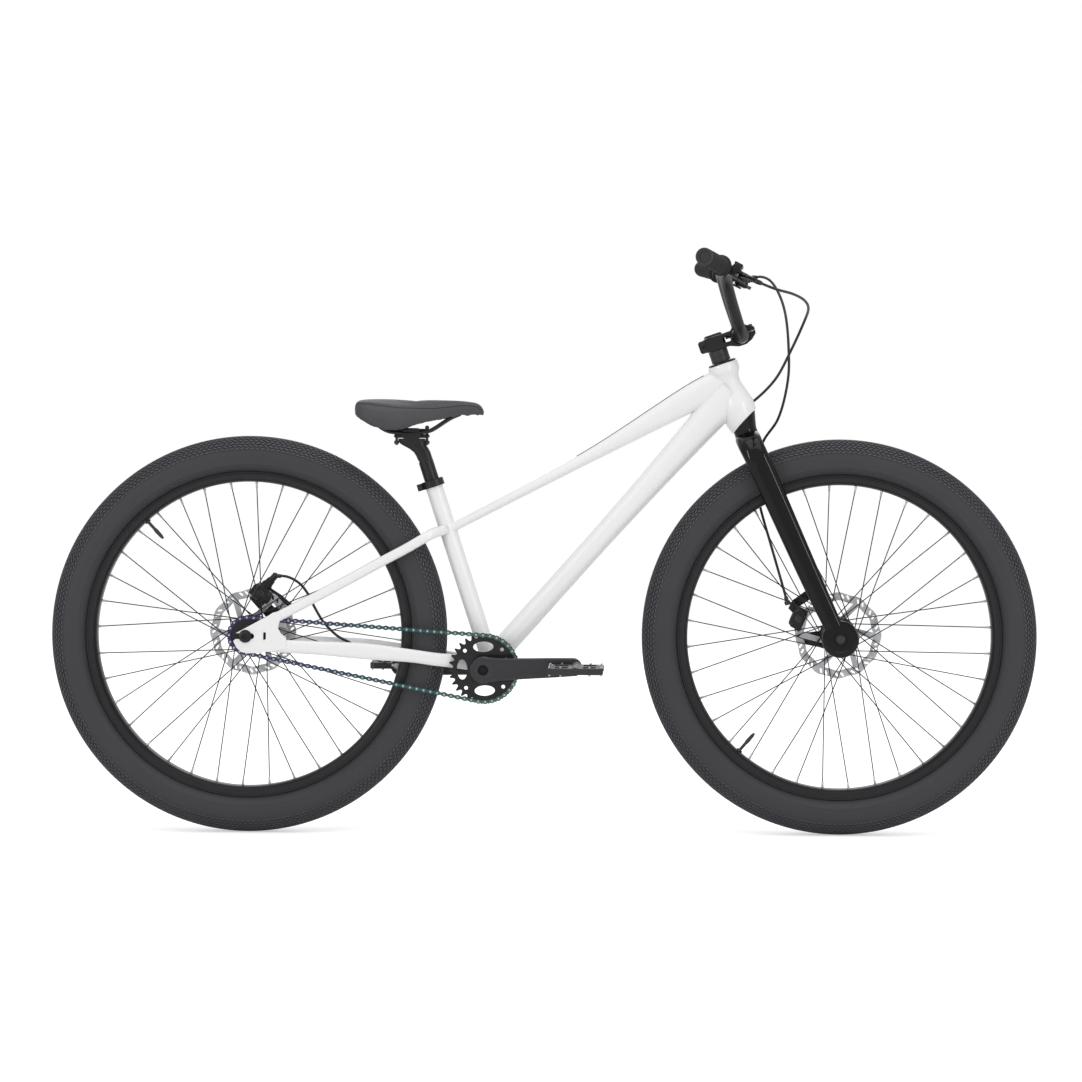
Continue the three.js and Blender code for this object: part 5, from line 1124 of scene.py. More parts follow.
def add_rear_mount(shape, high):
    """The rear caliper's bracket, and the cylinder that reaches to the end of its hose."""
    x, z = CALIPERS["rear"]["centre"]
    outline = [(x + ahead, z + up) for ahead, up in REAR_BRACKET]
    shape.plate(outline, high - 6, high, [oval(x + 24, z - 22, 14, 9, -30)], 1.2)
    foot = Vector((x - 13, CALIPERS["rear"]["side"] + 8, z - 9))
    way = Vector(HOSES["rear"][-1]) - foot
    length = way.length
    shape.turned([(0, 0), (9, 0), (10.4, 1.4), (10.4, 16), (9.6, 17), (10.4, 18), (10.4, 34), (8.4, 38),
                  (7.6, 46), (6.2, 47), (6.2, length + 1), (5, length + 3), (0, length + 3)], foot, way, 36)


def build_caliper(name):
    f, caliper, turn = finishes(), CALIPERS[name], caliper_turn(name)
    body = caliper["body"]
    shape, bolts = caliper_shape(turn)
    high = caliper["side"] + CALIPER_FACE
    if name == "rear":
        add_rear_mount(shape, high)
    else:
        for outline in FRONT_MOUNTS:
            shape.plate(outline, high - 6, high, chamfer=1.2)
    shape.made(f"{name}_caliper_body", body, f.parts, "parts_black", [f"{name}_caliper"], sharp=30)
    screw = [(0, 0), (4.6, 0), (4.6, 3.4), (4, 4), (2.2, 4), (2, 2.2), (0, 2.2)]
    for x, z in caliper["screws"]:
        bolts.turned(screw, Vector((x, high, z)), ACROSS, 24)
    last, end = (Vector(row) for row in HOSES[name][-2:])
    way = (end - last).normalized()
    nut = [(2.6, -9), (3.8, -8.4), (3.8, 0), (5.6, 0), (5.6, 6), (4, 7), (0, 7)]
    bolts.turned(nut, end - way * 2, way, 16)
    bolts.made(f"{name}_caliper_bolts", body, f.bolt, "parts_black", sharp=30)
    # The pads take the near-black finish: partly their own dark colour, partly painted shade inside the
    # caliper.
    pads = Shape()
    for side in (1, -1):
        near, far = sorted((side * 1.15, side * 1.9))
        pads.plate([(-12, -11), (12, -11), (12, 8), (-12, 8)], near, far, turn=turn)
    pads.made(f"{name}_caliper_pads", body, f.bore, "parts_black")


def build_steering():
    build_fork()
    build_front_axle()
    build_stem()
    build_handlebar()
    for side, word in ((1, "left"), (-1, "right")):
        build_grip(side, word)
        build_lever(side, word)


def build_brakes():
    build_hoses()
    for name in CALIPERS:
        build_caliper(name)


# Drive


CRANK_LENGTH = 170
CRANK_RISE = math.radians(2.2)
CRANK = Matrix.Translation(BRACKET) @ Matrix.Rotation(-CRANK_RISE, 4, "Y")
ARM_SIDES = (68, 85)
CHAIN_SIDE = -47
CHAIN_PITCH = 12.7
CHAIN_STEPS = 240
LINK_END = 4.25
LINK_WAIST = 2.0
# How far the plates of a narrow and of a wide link reach from the chain's middle plane
NARROW_LINK = (1.6, 2.6)
WIDE_LINK = (2.7, 3.6)
TOOTH_HALF = 1.3
RING_TEETH = 30
COG_TEETH = 16
# A tooth's outline: [share of a step, height over the pitch circle]
TOOTH = [(-0.5, -4.1), (-0.38, -3.7), (-0.3, -2.6), (-0.22, -0.6), (-0.15, 1.9), (-0.08, 3.6), (0.02, 4.0),
         (0.1, 3.4), (0.17, 1.6), (0.24, -0.8), (0.31, -2.7), (0.39, -3.8)]
PEDAL_SIDE = 140
PEDAL_CENTRE = {"right": CRANK @ Vector((CRANK_LENGTH, -PEDAL_SIDE, 0)),
                "left": CRANK @ Vector((-CRANK_LENGTH, PEDAL_SIDE, 0))}
PEDAL_HALF = (50, 52)
# Lays a plate's outline flat, in x and y, with its thickness along z
FLAT = Matrix(((1, 0, 0, 0), (0, 0, 1, 0), (0, 1, 0, 0), (0, 0, 0, 1)))


def pitch_radius(teeth):
    return CHAIN_PITCH / (2 * math.sin(math.pi / teeth))


def toothed(teeth, phase=0.0):
    radius, step = pitch_radius(teeth), 360 / teeth
    return outline_of(around(Vector(), radius + rise, phase + (i + share) * step)
                      for i in range(teeth) for share, rise in TOOTH)


def arm_outline():
    """A crank arm that points along x, broad at the spindle and round at the pedal."""
    root, tip = arc(0, 0, 23.8, 68, 292, 30), arc(163, 0, 16.4, -84, 84, 20)
    lower = [(18, -21.6), (30, -20.2), (48, -19.4), (90, -18.4), (130, -17.6)]
    return root + lower + tip + [(x, -z) for x, z in reversed(lower)]


def build_crank():
    f = finishes()
    low, high = sorted(-y for y in ARM_SIDES)
    holes = [arc(0, 0, 12.4, 0, 350, 35), arc(CRANK_LENGTH, 0, 6.6, 0, 340, 17)]
    for word, turn in (("right", CRANK), ("left", CRANK @ Matrix.Rotation(math.pi, 4, "Z"))):
        arm = Shape().plate(arm_outline(), low, high, holes, 3.2, turn)
        arm.made(f"crank_arm_{word}_body", "crank", f.satin, "parts_black", [f"crank_arm_{word}"], sharp=30)
        centre, outward = turn @ Vector((0, low, 0)), turn.to_3x3() @ -ACROSS
        ring = Shape().turned([(10.5, -0.4), (12.4, -0.4), (19.6, -0.4), (20.2, -1), (20.2, -1.6),
                               (12.8, -1.6), (12.4, -15), (10.5, -15)], centre, outward, 56)
        ring.made(f"crank_ring_{word}", "crank", f.bolt, "parts_black", sharp=40)
        # A near-black disc set 6 mm into the hollow spindle: painted shade for the depth of the bore.
        cap = Shape().turned([(0, -6), (9, -6), (9, -9), (0, -9)], centre, outward, 40)
        cap.made(f"crank_bore_shade_{word}", "crank", f.bore, "parts_black")
    spindle = Shape().turned([(9.4, -84), (11.9, -84), (11.9, 84), (9.4, 84)], BRACKET, ACROSS, 40)
    spindle.made("crank_spindle", "crank", f.bolt, "parts_black")


def build_chainring():
    ring = Shape()
    holes = [arc(0, 0, 16, 0, 350, 35)]
    for large in range(0, 360, 90):
        place, small = around(Vector(), 40, large), around(Vector(), 48, large + 45)
        holes += [oval(place.x, place.z, 37, 19, large + 90), oval(small.x, small.z, 7, 7, 0, 16)]
    ring.plate(toothed(RING_TEETH), CHAIN_SIDE - TOOTH_HALF, CHAIN_SIDE + TOOTH_HALF, holes, 0.4, CRANK)
    ring.turned([(12.2, -67.6), (19.8, -67.6), (20, -66.8), (20, -56), (23.4, -50.6), (23.4, -48.2),
                 (15.5, -48.2), (15.5, -45.8), (12.2, -45.8)], BRACKET, ACROSS, 64)
    ring.made("chainring_plate", "crank", finishes().parts, "parts_black", ["chainring"], sharp=30)


def chain_loop():
    """The pins of the chain in order, starting in a gap at the front of the chainring."""
    big, small = pitch_radius(RING_TEETH), pitch_radius(COG_TEETH)
    span = REAR_AXLE - BRACKET
    bearing = math.degrees(math.atan2(span.z, span.x))
    distance = math.hypot(span.x, span.z)
    opening = math.degrees(math.acos((big - small) / distance))
    dense = []
    begin = bearing + 180
    for centre, radius, start, end in (
        (BRACKET, big, begin, bearing + 360 - opening),
        (REAR_AXLE, small, bearing - opening, bearing + opening),
        (BRACKET, big, bearing + opening, begin),
    ):
        swing = (end - start) / CHAIN_STEPS
        dense += [around(centre, radius, start + swing * i, CHAIN_SIDE) for i in range(CHAIN_STEPS + 1)]
    lengths = [0.0]
    for a, b in zip(dense, dense[1:]):
        lengths.append(lengths[-1] + (b - a).length)
    count = 2 * round(lengths[-1] / CHAIN_PITCH / 2)
    pitch = lengths[-1] / count
    gap = 360 / RING_TEETH
    phase = (math.degrees(CRANK_RISE) + gap / 2 - begin) % gap
    offset = math.radians(phase) * big
    pins, k = [], 0
    for i in range(count):
        at = offset + i * pitch
        while k < len(lengths) - 2 and lengths[k + 1] < at:
            k += 1
        share = (at - lengths[k]) / max(lengths[k + 1] - lengths[k], 1e-9)
        pins.append(dense[k].lerp(dense[k + 1], share))
    return pins


def link_outline(a, b):
    """A chain plate with round ends and a narrow waist."""
    way = (b - a).normalized()
    along = math.degrees(math.atan2(way.z, way.x))
    loop = arc(a.x, a.z, LINK_END, along + 70, along + 290, 8)
    middle = (a + b) / 2
    up = Vector((-way.z, 0, way.x))
    low, high = middle - up * LINK_WAIST, middle + up * LINK_WAIST
    loop += [(low.x, low.z)] + arc(b.x, b.z, LINK_END, along - 110, along + 110, 8) + [(high.x, high.z)]
    return loop


def slab(shape, loop, low, high):
    """A thin plate between two sides, from an outline in x and z."""
    count = len(loop)
    points = [(x, side, z) for side in (low, high) for x, z in loop]
    faces = [tuple(range(count)), tuple(range(2 * count - 1, count - 1, -1))]
    faces += [(i, count + i, count + (i + 1) % count, (i + 1) % count) for i in range(count)]
    shape.add(points, faces)


def build_chain():
    """The chain's links with their rollers, and its pins. Gives the places of the pins."""
    pins = chain_loop()
    plates, rollers, rivets = Shape(), Shape(), Shape()
    for i, (a, b) in enumerate(zip(pins, pins[1:] + pins[:1])):
        near, far = NARROW_LINK if i % 2 else WIDE_LINK
        for side in (1, -1):
            slab(plates, link_outline(a, b), CHAIN_SIDE + side * near, CHAIN_SIDE + side * far)
        rivets.rod(a - ACROSS * 4.1, a + ACROSS * 4.1, 1.9, 12)
        rollers.rod(a - ACROSS * 1.5, a + ACROSS * 1.5, 3.8, 14)
    plates.add(rollers.points, rollers.faces)
    plates.made("chain_links", "frame", finishes().chain, "chain_oil_slick", ["chain"], sharp=30)
    rivets.made("chain_pins", "frame", finishes().steel, "chain_oil_slick")
    return pins


def build_cog(pins):
    """The cog, turned so that the chain's pins lie in its gaps, and the driver that carries it."""
    nearest = min(pins, key=lambda p: abs(p.z - REAR_AXLE.z) if p.x < REAR_AXLE.x else 1e9)
    step = 360 / COG_TEETH
    phase = math.degrees(math.atan2(nearest.z - REAR_AXLE.z, nearest.x - REAR_AXLE.x)) - step / 2
    turn = Matrix.Translation(REAR_AXLE)
    cog = Shape().plate(toothed(COG_TEETH, phase), CHAIN_SIDE - TOOTH_HALF, CHAIN_SIDE + TOOTH_HALF,
                        [arc(0, 0, 15.8, 0, 350, 35)], 0.35, turn)
    cog.turned([(12.6, -51.4), (17.6, -51.4), (18.4, -50.6), (18.4, -43.4), (17.6, -42.6), (12.6, -42.6)],
               REAR_AXLE, ACROSS, 48)
    cog.made("rear_cog_plate", "cog", finishes().parts, "steel", ["rear_cog"], sharp=30)
    sleeve = [(5.4, -67.2), (10.4, -67.2), (11.2, -66.4), (11.2, -34.3), (10.6, -33.5), (5.4, -33.5)]
    driver = Shape().turned(sleeve, REAR_AXLE, ACROSS, 48)
    driver.made("rear_driver_body", "cog", finishes().parts, "parts_black", ["rear_driver"], sharp=40)


def pedal_outline():
    """A platform with shallow hollows in front and behind, and cut corners."""
    length, width = PEDAL_HALF
    quarter = [(length - 6, 0), (length - 4, width * 0.4), (length, width * 0.66), (length, width - 9),
               (length - 8, width)]
    right = quarter + [(18, width), (0, width - 2)]
    upper = right + [(-x, y) for x, y in reversed(right[:-1])]
    return upper + [(x, -y) for x, y in reversed(upper[1:-1])]


def build_pedal(word):
    centre, side = PEDAL_CENTRE[word], (1 if word == "left" else -1)
    turn = Matrix.Translation(centre) @ FLAT
    windows = []
    for sx in (1, -1):
        for y0, y1 in ((7, 42), (-42, -7)):
            corners = [(sx * 14, y0), (sx * 35, y0), (sx * 38, (y0 + y1) / 2), (sx * 35, y1), (sx * 14, y1)]
            windows.append(corners)
    body = Shape().plate(pedal_outline(), -5.8, 5.8, windows, 1.4, turn)
    body.turned([(0, -48), (6.5, -48), (8.2, -46), (8.2, 44), (7.6, 50), (0, 50)], centre, ACROSS * side, 32)
    body.made(f"pedal_{word}_body", f"pedal_{word}_body", finishes().satin, "parts_black", [f"pedal_{word}"],
              sharp=30)
    pins = Shape()
    edge = [(46, 42), (47, 24), (42, 8), (42, -8), (47, -24), (46, -42)]
    spots = [(sx * x, y) for sx in (1, -1) for x, y in edge]
    spots += [(sx * 26, sy * 47) for sx in (1, -1) for sy in (1, -1)]
    for x, y in spots:
        foot = centre + Vector((x, y, 0))
        pins.rod(foot - UP * 8.5, foot + UP * 8.5, 1.9, 10, 0.4)
    pins.made(f"pedal_{word}_pins", f"pedal_{word}_body", finishes().steel, "steel")
    axle = Shape().rod(centre - ACROSS * side * 55.6, centre - ACROSS * side * 44, 6, 24)
    axle.turned([(6, 0), (9.2, 0), (9.4, 1), (9.4, 3), (9, 3.6), (6, 3.6)], centre - ACROSS * side * 54.6,
                ACROSS * side, 24)
    axle.made(f"pedal_{word}_axle", f"pedal_{word}_body", finishes().steel, "steel")


def build_bottom_bracket():
    """Two bearing cups with splined rims, and the sleeve between them."""
    shape = Shape()
    for side in (1, -1):
        out = ACROSS * side
        cup = [(12.4, 36.8), (21, 36.8), (22.4, 37.6), (22.4, 40.6), (21, 43.2), (18.6, 44.6), (12.4, 44.6)]
        shape.turned(cup, BRACKET, out, 64)
        for i in range(16):
            at = around(BRACKET, 21.7, i * 22.5, side * 39)
            shape.rod(at, at + out * 3.4, 1.5, 8)
    shape.turned([(12.4, -36.8), (14, -36.8), (14, 36.8), (12.4, 36.8)], BRACKET, ACROSS, 40)
    shape.made("bottom_bracket_cups", "frame", finishes().parts, "parts_black", ["bottom_bracket"], sharp=40)


def build_drive():
    build_bottom_bracket()
    build_crank()
    build_chainring()
    build_cog(build_chain())
    for word in PEDAL_CENTRE:
        build_pedal(word)


# Frame


# The head tube's outside: [down, radius]
HEAD_OUTLINE = [(0, 26.2), (0.6, 27.4), (1.8, 28), (14, 28), (16, 27.5), (21, 24.4), (27, 22), (33, 21),
                (40, 21.2), (56, 25.6), (72, 30.4), (79, 32), (84, 32.2), (97.3, 32.2), (110, 29.6),
                (126.3, 24.6)]
HEAD_SKIRT_END = 126.3
HEAD_SKIRT_WALL = 1.8
# The slanting cut through the skirt: how far down it is in front, how far ahead that is, and its slope
SKIRT_CUT = (96, 32.2, math.radians(27))
# The line on the top tube follows this point of its rings, between these rings
EDGE_LINE_COLUMN = 15
EDGE_LINE_RINGS = (15, 38)
SEAT_TUBE_RADIUS = 15.9
SHELL_RADIUS = 24
SHELL_HALF = 36.5
TOP_TUBE_UP = 264
TOP_TUBE_DOWN = 30
DOWN_TUBE_DOWN = 54
# The down tube from the bracket to the head: [share of the way, width, height]
DOWN_TUBE_SHARES = [(0.03, 46, 41), (0.5, 46, 41), (0.84, 52, 54), (1, 52, 66)]
STAY_OUT = 67.5
# The stays: [share of the way, share of STAY_OUT, lift and height as shares of the stay's height]
CHAINSTAY_SHARES = [(0.03, 0.36, 0.16, 1), (0.147, 0.52, 0.19, 1), (0.212, 0.61, 0.17, 1),
                    (0.304, 0.72, 0.2, 1), (0.505, 0.845, 0.07, 1.21), (0.72, 0.94, -0.19, 1),
                    (0.853, 0.985, -0.39, 1), (0.904, 1, -0.42, 1)]
SEATSTAY_SHARES = [(0.02, 0.24, 0.3, 1), (0.09, 0.58, 0.5, 1), (0.15, 0.69, 0.45, 1), (0.22, 0.7, 0.35, 1),
                   (0.36, 0.72, 0.28, 1), (0.6, 0.8, 0.1, 1), (0.88, 0.95, 0, 1), (1, 1, 0, 1)]
STAY_WIDTH = 13
CHAINSTAY_HEIGHT = 24
SEATSTAY_HEIGHT = 18
DROPOUT_REACH = 80
DROPOUT_SIDES = (67.5, 74)
# The edge of a dropout from the axle: [ahead, up] as shares of DROPOUT_REACH
DROPOUT_OUTLINE = [(0.5, 0.457), (0.62, 0.535), (0.72, 0.56), (0.79, 0.5), (0.82, 0.42), (0.76, 0.3),
                   (0.745, 0.17), (0.81, 0.06), (0.93, -0.03), (0.93, -0.28), (0.74, -0.325), (0.56, -0.35),
                   (0.2275, -0.385), (0.05, -0.39), (-0.09, -0.36), (-0.2, -0.26), (-0.274, -0.1125)]
SLOT_HALF = 5.3
# How far ahead of the axle the dropout's slot begins and ends
SLOT_REACH = (-17.6, 16)
# The seatstays' ends: up the seat tube, and from the axle
SEATSTAY_UP = 263
SEATSTAY_FOOT = Vector((36, 0, 24))
WELD_RADIUS = 1.1


def top_tube_stations():
    """[x, y, z, width, height] from the seat tube to the head tube; the tube grows taller to the front."""
    rear, front = seat_point(TOP_TUBE_UP), head_point(TOP_TUBE_DOWN)
    middle = (rear + front) / 2 - 4 * UP
    return [(*rear, 26, 16), (*middle, 34, 24), (*head_point(TOP_TUBE_DOWN + 7, -56), 40, 52),
            (*front, 40, 52)]


def down_tube_stations():
    neck = head_point(DOWN_TUBE_DOWN)
    return [(*BRACKET.lerp(neck, way), wide, tall) for way, wide, tall in DOWN_TUBE_SHARES]


def stay_stations(start, end, shares, side, height):
    """The stations of one stay, to the left with side 1 and to the right with side -1."""
    stations = []
    for way, out, lift, tall in shares:
        at = start.lerp(end, way) + side * out * STAY_OUT * ACROSS + lift * height * UP
        stations.append((*at, STAY_WIDTH, tall * height))
    return stations


def head_radius(down):
    for (d0, r0), (d1, r1) in zip(HEAD_OUTLINE, HEAD_OUTLINE[1:]):
        if down <= d1:
            return r0 + (r1 - r0) * max(0.0, down - d0) / (d1 - d0)
    return HEAD_OUTLINE[-1][1]


def in_head(p):
    way = p - HEAD_TOP
    down = way.dot(HEAD_DOWN)
    return math.hypot(way.dot(HEAD_AHEAD), p.y) < head_radius(down) and -1 < down < HEAD_SKIRT_END


def in_seat_tube(p):
    return math.hypot((p - SEAT_FOOT).dot(SEAT_AHEAD), p.y) < SEAT_TUBE_RADIUS


def in_shell(p):
    return math.hypot(p.x - BRACKET.x, p.z - BRACKET.z) < SHELL_RADIUS and abs(p.y) < SHELL_HALF


def in_top_tube(p):
    rows = smooth_way(top_tube_stations(), 8)
    for a, b in zip(rows, rows[1:]):
        if a[0] <= p.x <= b[0]:
            share = (p.x - a[0]) / (b[0] - a[0])
            z, wide, tall = (a[k] + (b[k] - a[k]) * share for k in (2, 3, 4))
            slope = math.atan2(b[2] - a[2], b[0] - a[0])
            return (p.y / (wide / 2)) ** 2 + ((p.z - z) * math.cos(slope) / (tall / 2)) ** 2 < 1
    return False


def tube_surface(stations, sides, spans, square):
    """Dense rings of a tube's skin."""
    made = Shape().oval_tube(stations, spans, sides, square=square)
    count = len(made.points) // sides
    return [made.points[r * sides:(r + 1) * sides] for r in range(count)]


def on_column(rings, s, t):
    low = min(int(t), len(rings) - 2)
    return rings[low][s].lerp(rings[low + 1][s], t - low)


def first_clear(rings, s, inside, order):
    """The place along one line of a tube's skin where it leaves a neighbour, going inwards from an end."""
    held = order[0]
    for t in order:
        if not inside(on_column(rings, s, t)):
            break
        held = t
    low, high = held, t
    for _ in range(14):
        middle = (low + high) / 2
        if inside(on_column(rings, s, middle)):
            low = middle
        else:
            high = middle
    return low


def mitred_tube(stations, start=None, end=None, sides=48, spans=16, square=2.0, steps=40):
    """The rings of a tube whose ends are cut to the shape of its neighbours, and its two end lines."""
    rings = tube_surface(stations, sides, spans, square)
    last = len(rings) - 1
    fine = [i / 2 for i in range(2 * last + 1)]
    starts = [first_clear(rings, s, start, fine) if start else 0.0 for s in range(sides)]
    ends = [first_clear(rings, s, end, fine[::-1]) if end else float(last) for s in range(sides)]
    made = [
        [on_column(rings, s, starts[s] + (ends[s] - starts[s]) * j / steps) for s in range(sides)]
        for j in range(steps + 1)
    ]
    return made, made[0], made[-1]


def weld_line(shape, line):
    """A weld round a joint, with the small ripples of its runs."""
    points = [a.lerp(b, share) for a, b in zip(line, line[1:] + line[:1]) for share in (0.0, 1 / 3, 2 / 3)]
    length = sum((a - b).length for a, b in zip(points, points[1:]))
    ripples = max(24, int(length / 2.6))
    turns = [2 * math.pi * i * ripples / len(points) for i in range(len(points))]
    radii = [WELD_RADIUS * (1 + 0.1 * (1 + math.cos(turn))) for turn in turns]
    shape.tube(points, radii, 8, closed=True)


def frame_piece(shape, name, nodes=(), sharp=35):
    shape.made(name, "frame", finishes().frame, "frame_white", nodes, sharp=sharp)


def build_head_tube():
    """The head tube: a collar, a waist, a bell, and a skirt cut away in front."""
    rings = []
    for k in range(72):
        turn = 2 * math.pi * k / 72
        ahead = math.cos(turn)
        down, front, slope = SKIRT_CUT
        limit = min(HEAD_SKIRT_END, down + (front - head_radius(105) * ahead) * math.tan(slope))
        rows = [(head_radius(d), d) for d, _ in HEAD_OUTLINE[:13]]
        rows = [(r, min(d, limit)) for r, d in rows]
        skirt = [(head_radius(d), d) for d in ((HEAD_LENGTH + limit) / 2, limit)]
        rows += skirt + [(r - HEAD_SKIRT_WALL, d) for r, d in reversed(skirt)]
        floor = min(HEAD_LENGTH, limit)
        rows += [(head_radius(floor) - HEAD_SKIRT_WALL, floor), (26, floor - 0.1), (26, 89.3), (18.2, 89.3),
                 (18.2, 8), (21, 8), (21, 0)]
        rings.append([head_point(d, r * math.cos(turn), r * math.sin(turn)) for r, d in rows])
    frame_piece(Shape().loft(rings, closed=True, caps=False), "head_tube_shell", ["head_tube"])


def build_edge_line():
    """The thin dark line along the upper right edge of the top tube."""
    surface = tube_surface(top_tube_stations(), 48, 16, 2.3)
    edge = [ring[EDGE_LINE_COLUMN] for ring in surface[EDGE_LINE_RINGS[0]:EDGE_LINE_RINGS[1]]]
    line = Shape().tube(edge, 0.9, 8)
    line.made("top_tube_line", "frame", finishes().edge_line, "frame_white")


def build_main_tubes():
    beads = Shape()
    top, rear, front = mitred_tube(top_tube_stations(), in_seat_tube, in_head, square=2.3)
    frame_piece(Shape().loft(top), "top_tube_skin", ["top_tube"])
    weld_line(beads, rear)
    weld_line(beads, front)
    down, foot, neck = mitred_tube(down_tube_stations(), lambda p: in_shell(p) or in_seat_tube(p),
                                   lambda p: in_head(p) or in_top_tube(p), square=2.4)
    frame_piece(Shape().loft(down), "down_tube_skin", ["down_tube"])
    weld_line(beads, foot)
    weld_line(beads, neck)
    seat = Shape().turned([(13.9, 28), (SEAT_TUBE_RADIUS, 28), (SEAT_TUBE_RADIUS, 358.4), (15.4, 359),
                           (13.9, 359)],
                          SEAT_FOOT, SEAT_UP, 64)
    lower, foot, _ = mitred_tube([(*seat_point(up), 31.8, 31.8) for up in (0, 20, 60)], in_shell)
    seat.loft(lower)
    frame_piece(seat, "seat_tube_skin", ["seat_tube"])
    weld_line(beads, foot)
    shell = Shape().turned([(21.7, -SHELL_HALF), (23.4, -SHELL_HALF), (SHELL_RADIUS, -SHELL_HALF + 0.6),
                            (SHELL_RADIUS, SHELL_HALF - 0.6), (23.4, SHELL_HALF), (21.7, SHELL_HALF)],
                           BRACKET, ACROSS, 72)
    frame_piece(shell, "bracket_shell", ["bottom_bracket_shell"])
    frame_piece(beads, "main_welds", sharp=80)


def rounded_end(stations, reach):
    """Adds stations that close the end of a stay to a blunt round tip."""
    x, y, z, wide, tall = stations[-1]
    way = (Vector(stations[-1][:3]) - Vector(stations[-2][:3])).normalized()
    tip = []
    for turn in (25, 45, 62, 76, 86):
        go, shrink = reach * math.sin(math.radians(turn)), math.cos(math.radians(turn))
        place = Vector((x, y, z)) + way * go
        tip.append((*place, wide * (0.4 + 0.6 * shrink), tall * shrink))
    return tip


def build_stays():
    beads = Shape()
    for side, word in ((1, "left"), (-1, "right")):
        chain = stay_stations(BRACKET, REAR_AXLE, CHAINSTAY_SHARES, side, CHAINSTAY_HEIGHT)
        top, foot = seat_point(SEATSTAY_UP), REAR_AXLE + SEATSTAY_FOOT
        seat = stay_stations(top, foot, SEATSTAY_SHARES, side, SEATSTAY_HEIGHT)
        for name, stations, neighbour, reach in (("chainstay", chain, in_shell, 12),
                                                 ("seatstay", seat, in_seat_tube, 9)):
            rows = smooth_way(stations, 6) + rounded_end(stations, reach)
            rings, foot, _ = mitred_tube(rows, neighbour, spans=1, sides=36, square=2.6, steps=64)
            frame_piece(Shape().loft(rings), f"{name}_{word}_skin", [f"{name}_{word}"])
            weld_line(beads, foot)
    frame_piece(beads, "stay_welds", sharp=80)


def dropout_outline():
    at = [(REAR_AXLE.x + x * DROPOUT_REACH, REAR_AXLE.z + z * DROPOUT_REACH) for x, z in DROPOUT_OUTLINE]
    rear, front = (REAR_AXLE.x + ahead for ahead in SLOT_REACH)
    slot = [(rear, REAR_AXLE.z - SLOT_HALF)]
    slot += arc(front - SLOT_HALF, REAR_AXLE.z, SLOT_HALF, -90, 90, 12)
    slot += [(rear, REAR_AXLE.z + SLOT_HALF)]
    return at + slot


def window_outline(centre, wide, tall, corner=1.6):
    loop = []
    for sx, sz, start in ((1, 1, 0), (-1, 1, 90), (-1, -1, 180), (1, -1, 270)):
        for t in (0, 30, 60, 90):
            turn = math.radians(start + t)
            loop.append((centre[0] + sx * (wide / 2 - corner) + corner * math.cos(turn),
                         centre[1] + sz * (tall / 2 - corner) + corner * math.sin(turn)))
    return loop


def build_dropouts():
    window = window_outline((REAR_AXLE.x + 35, REAR_AXLE.z), 5, 14.5)
    for side, word in ((1, "left"), (-1, "right")):
        low, high = sorted(side * y for y in DROPOUT_SIDES)
        plate = Shape().plate(dropout_outline(), low, high, [window], 0.8)
        frame_piece(plate, f"dropout_{word}_plate", [f"dropout_{word}"])


def build_rear_axle():
    """The axle with a flanged bolt head on each side."""
    shape = Shape()
    shape.turned([(0, -74), (5, -74), (5, 74), (0, 74)], REAR_AXLE, ACROSS, 24)
    for side in (1, -1):
        shape.turned([(5.2, 0.2), (11.4, 0.2), (11.7, 0.8), (11.7, 1.8), (10, 2.4), (8.4, 2.8), (8, 6.6),
                      (7.2, 7.2), (4.6, 7.2), (4.2, 6.6), (4.2, 3.4), (0, 3.4), (0, 0.2)],
                     REAR_AXLE + ACROSS * side * 74, ACROSS * side, 48)
    shape.made("rear_axle_bolts", "frame", finishes().parts, "parts_black", ["rear_axle"])


def build_headset():
    cap = Shape()
    down = [(14.7, -4), (24, -4), (25.6, -3.2), (26, -0.4), (20.6, -0.1), (20.6, 7.6), (14.7, 7.6)]
    cap.turned(down, HEAD_TOP, HEAD_DOWN, 64)
    cap.made("headset_upper_cap", "frame", finishes().parts, "parts_black", ["headset_upper"])
    low = Shape().turned([(17.6, 89.6), (25.7, 89.6), (25.7, 97), (17.6, 97)], HEAD_TOP, HEAD_DOWN, 64)
    low.made("headset_lower_bearing", "frame", finishes().steel, "parts_black", ["headset_lower"])


def build_seat_clamp():
    """A collar with two ears and a bolt behind."""
    collar = Shape().turned([(16.2, 347.4), (19.8, 347.4), (20.5, 348.2), (20.5, 360.2), (19.8, 361),
                             (16.2, 361), (16.2, 359.4), (14.2, 359.3), (14.2, 359.1), (16.2, 359)],
                            SEAT_FOOT, SEAT_UP, 64)
    for side in (1, -1):
        collar.box(seat_point(354, -24, side * 4.2), (11, 5.2, 12.6), (SEAT_AHEAD, ACROSS, SEAT_UP))
    collar.made("seat_clamp_collar", "frame", finishes().parts, "parts_black", ["seat_clamp"], bevel=0.6)
    bolt = Shape()
    bolt.rod(seat_point(354, -24.5, -12.6), seat_point(354, -24.5, 9), 2.6, 16, 0.4)
    bolt.turned([(0, 0), (4.4, 0), (4.4, 3.6), (3.9, 4.2), (2.4, 4.2), (2.2, 2.4), (0, 2.4)],
                seat_point(354, -24.5, -6.8), -ACROSS, 24)
    bolt.made("seat_clamp_bolt", "frame", finishes().bolt, "parts_black")


def build_frame():
    build_head_tube()
    build_main_tubes()
    build_edge_line()
    build_stays()
    build_dropouts()
    build_rear_axle()
    build_headset()
    build_seat_clamp()


# Seat


# The saddle from its back to its nose: [x, half width, low, high]
SADDLE_WAY = [(-350.4, 34, 766, 778), (-346, 52, 760, 790), (-335, 64, 752, 794), (-315, 69, 741, 793.6),
              (-290, 68, 733.8, 791.6), (-266, 61, 734, 789.2), (-240, 48, 744, 788.4),
              (-213, 35, 751, 789.4), (-185, 26, 756, 791.4), (-160, 21.5, 760.4, 792.6),
              (-138.6, 19, 762, 791.6), (-124, 16.5, 762, 788.6), (-116.5, 13, 762.6, 782),
              (-112.2, 8, 764, 772)]
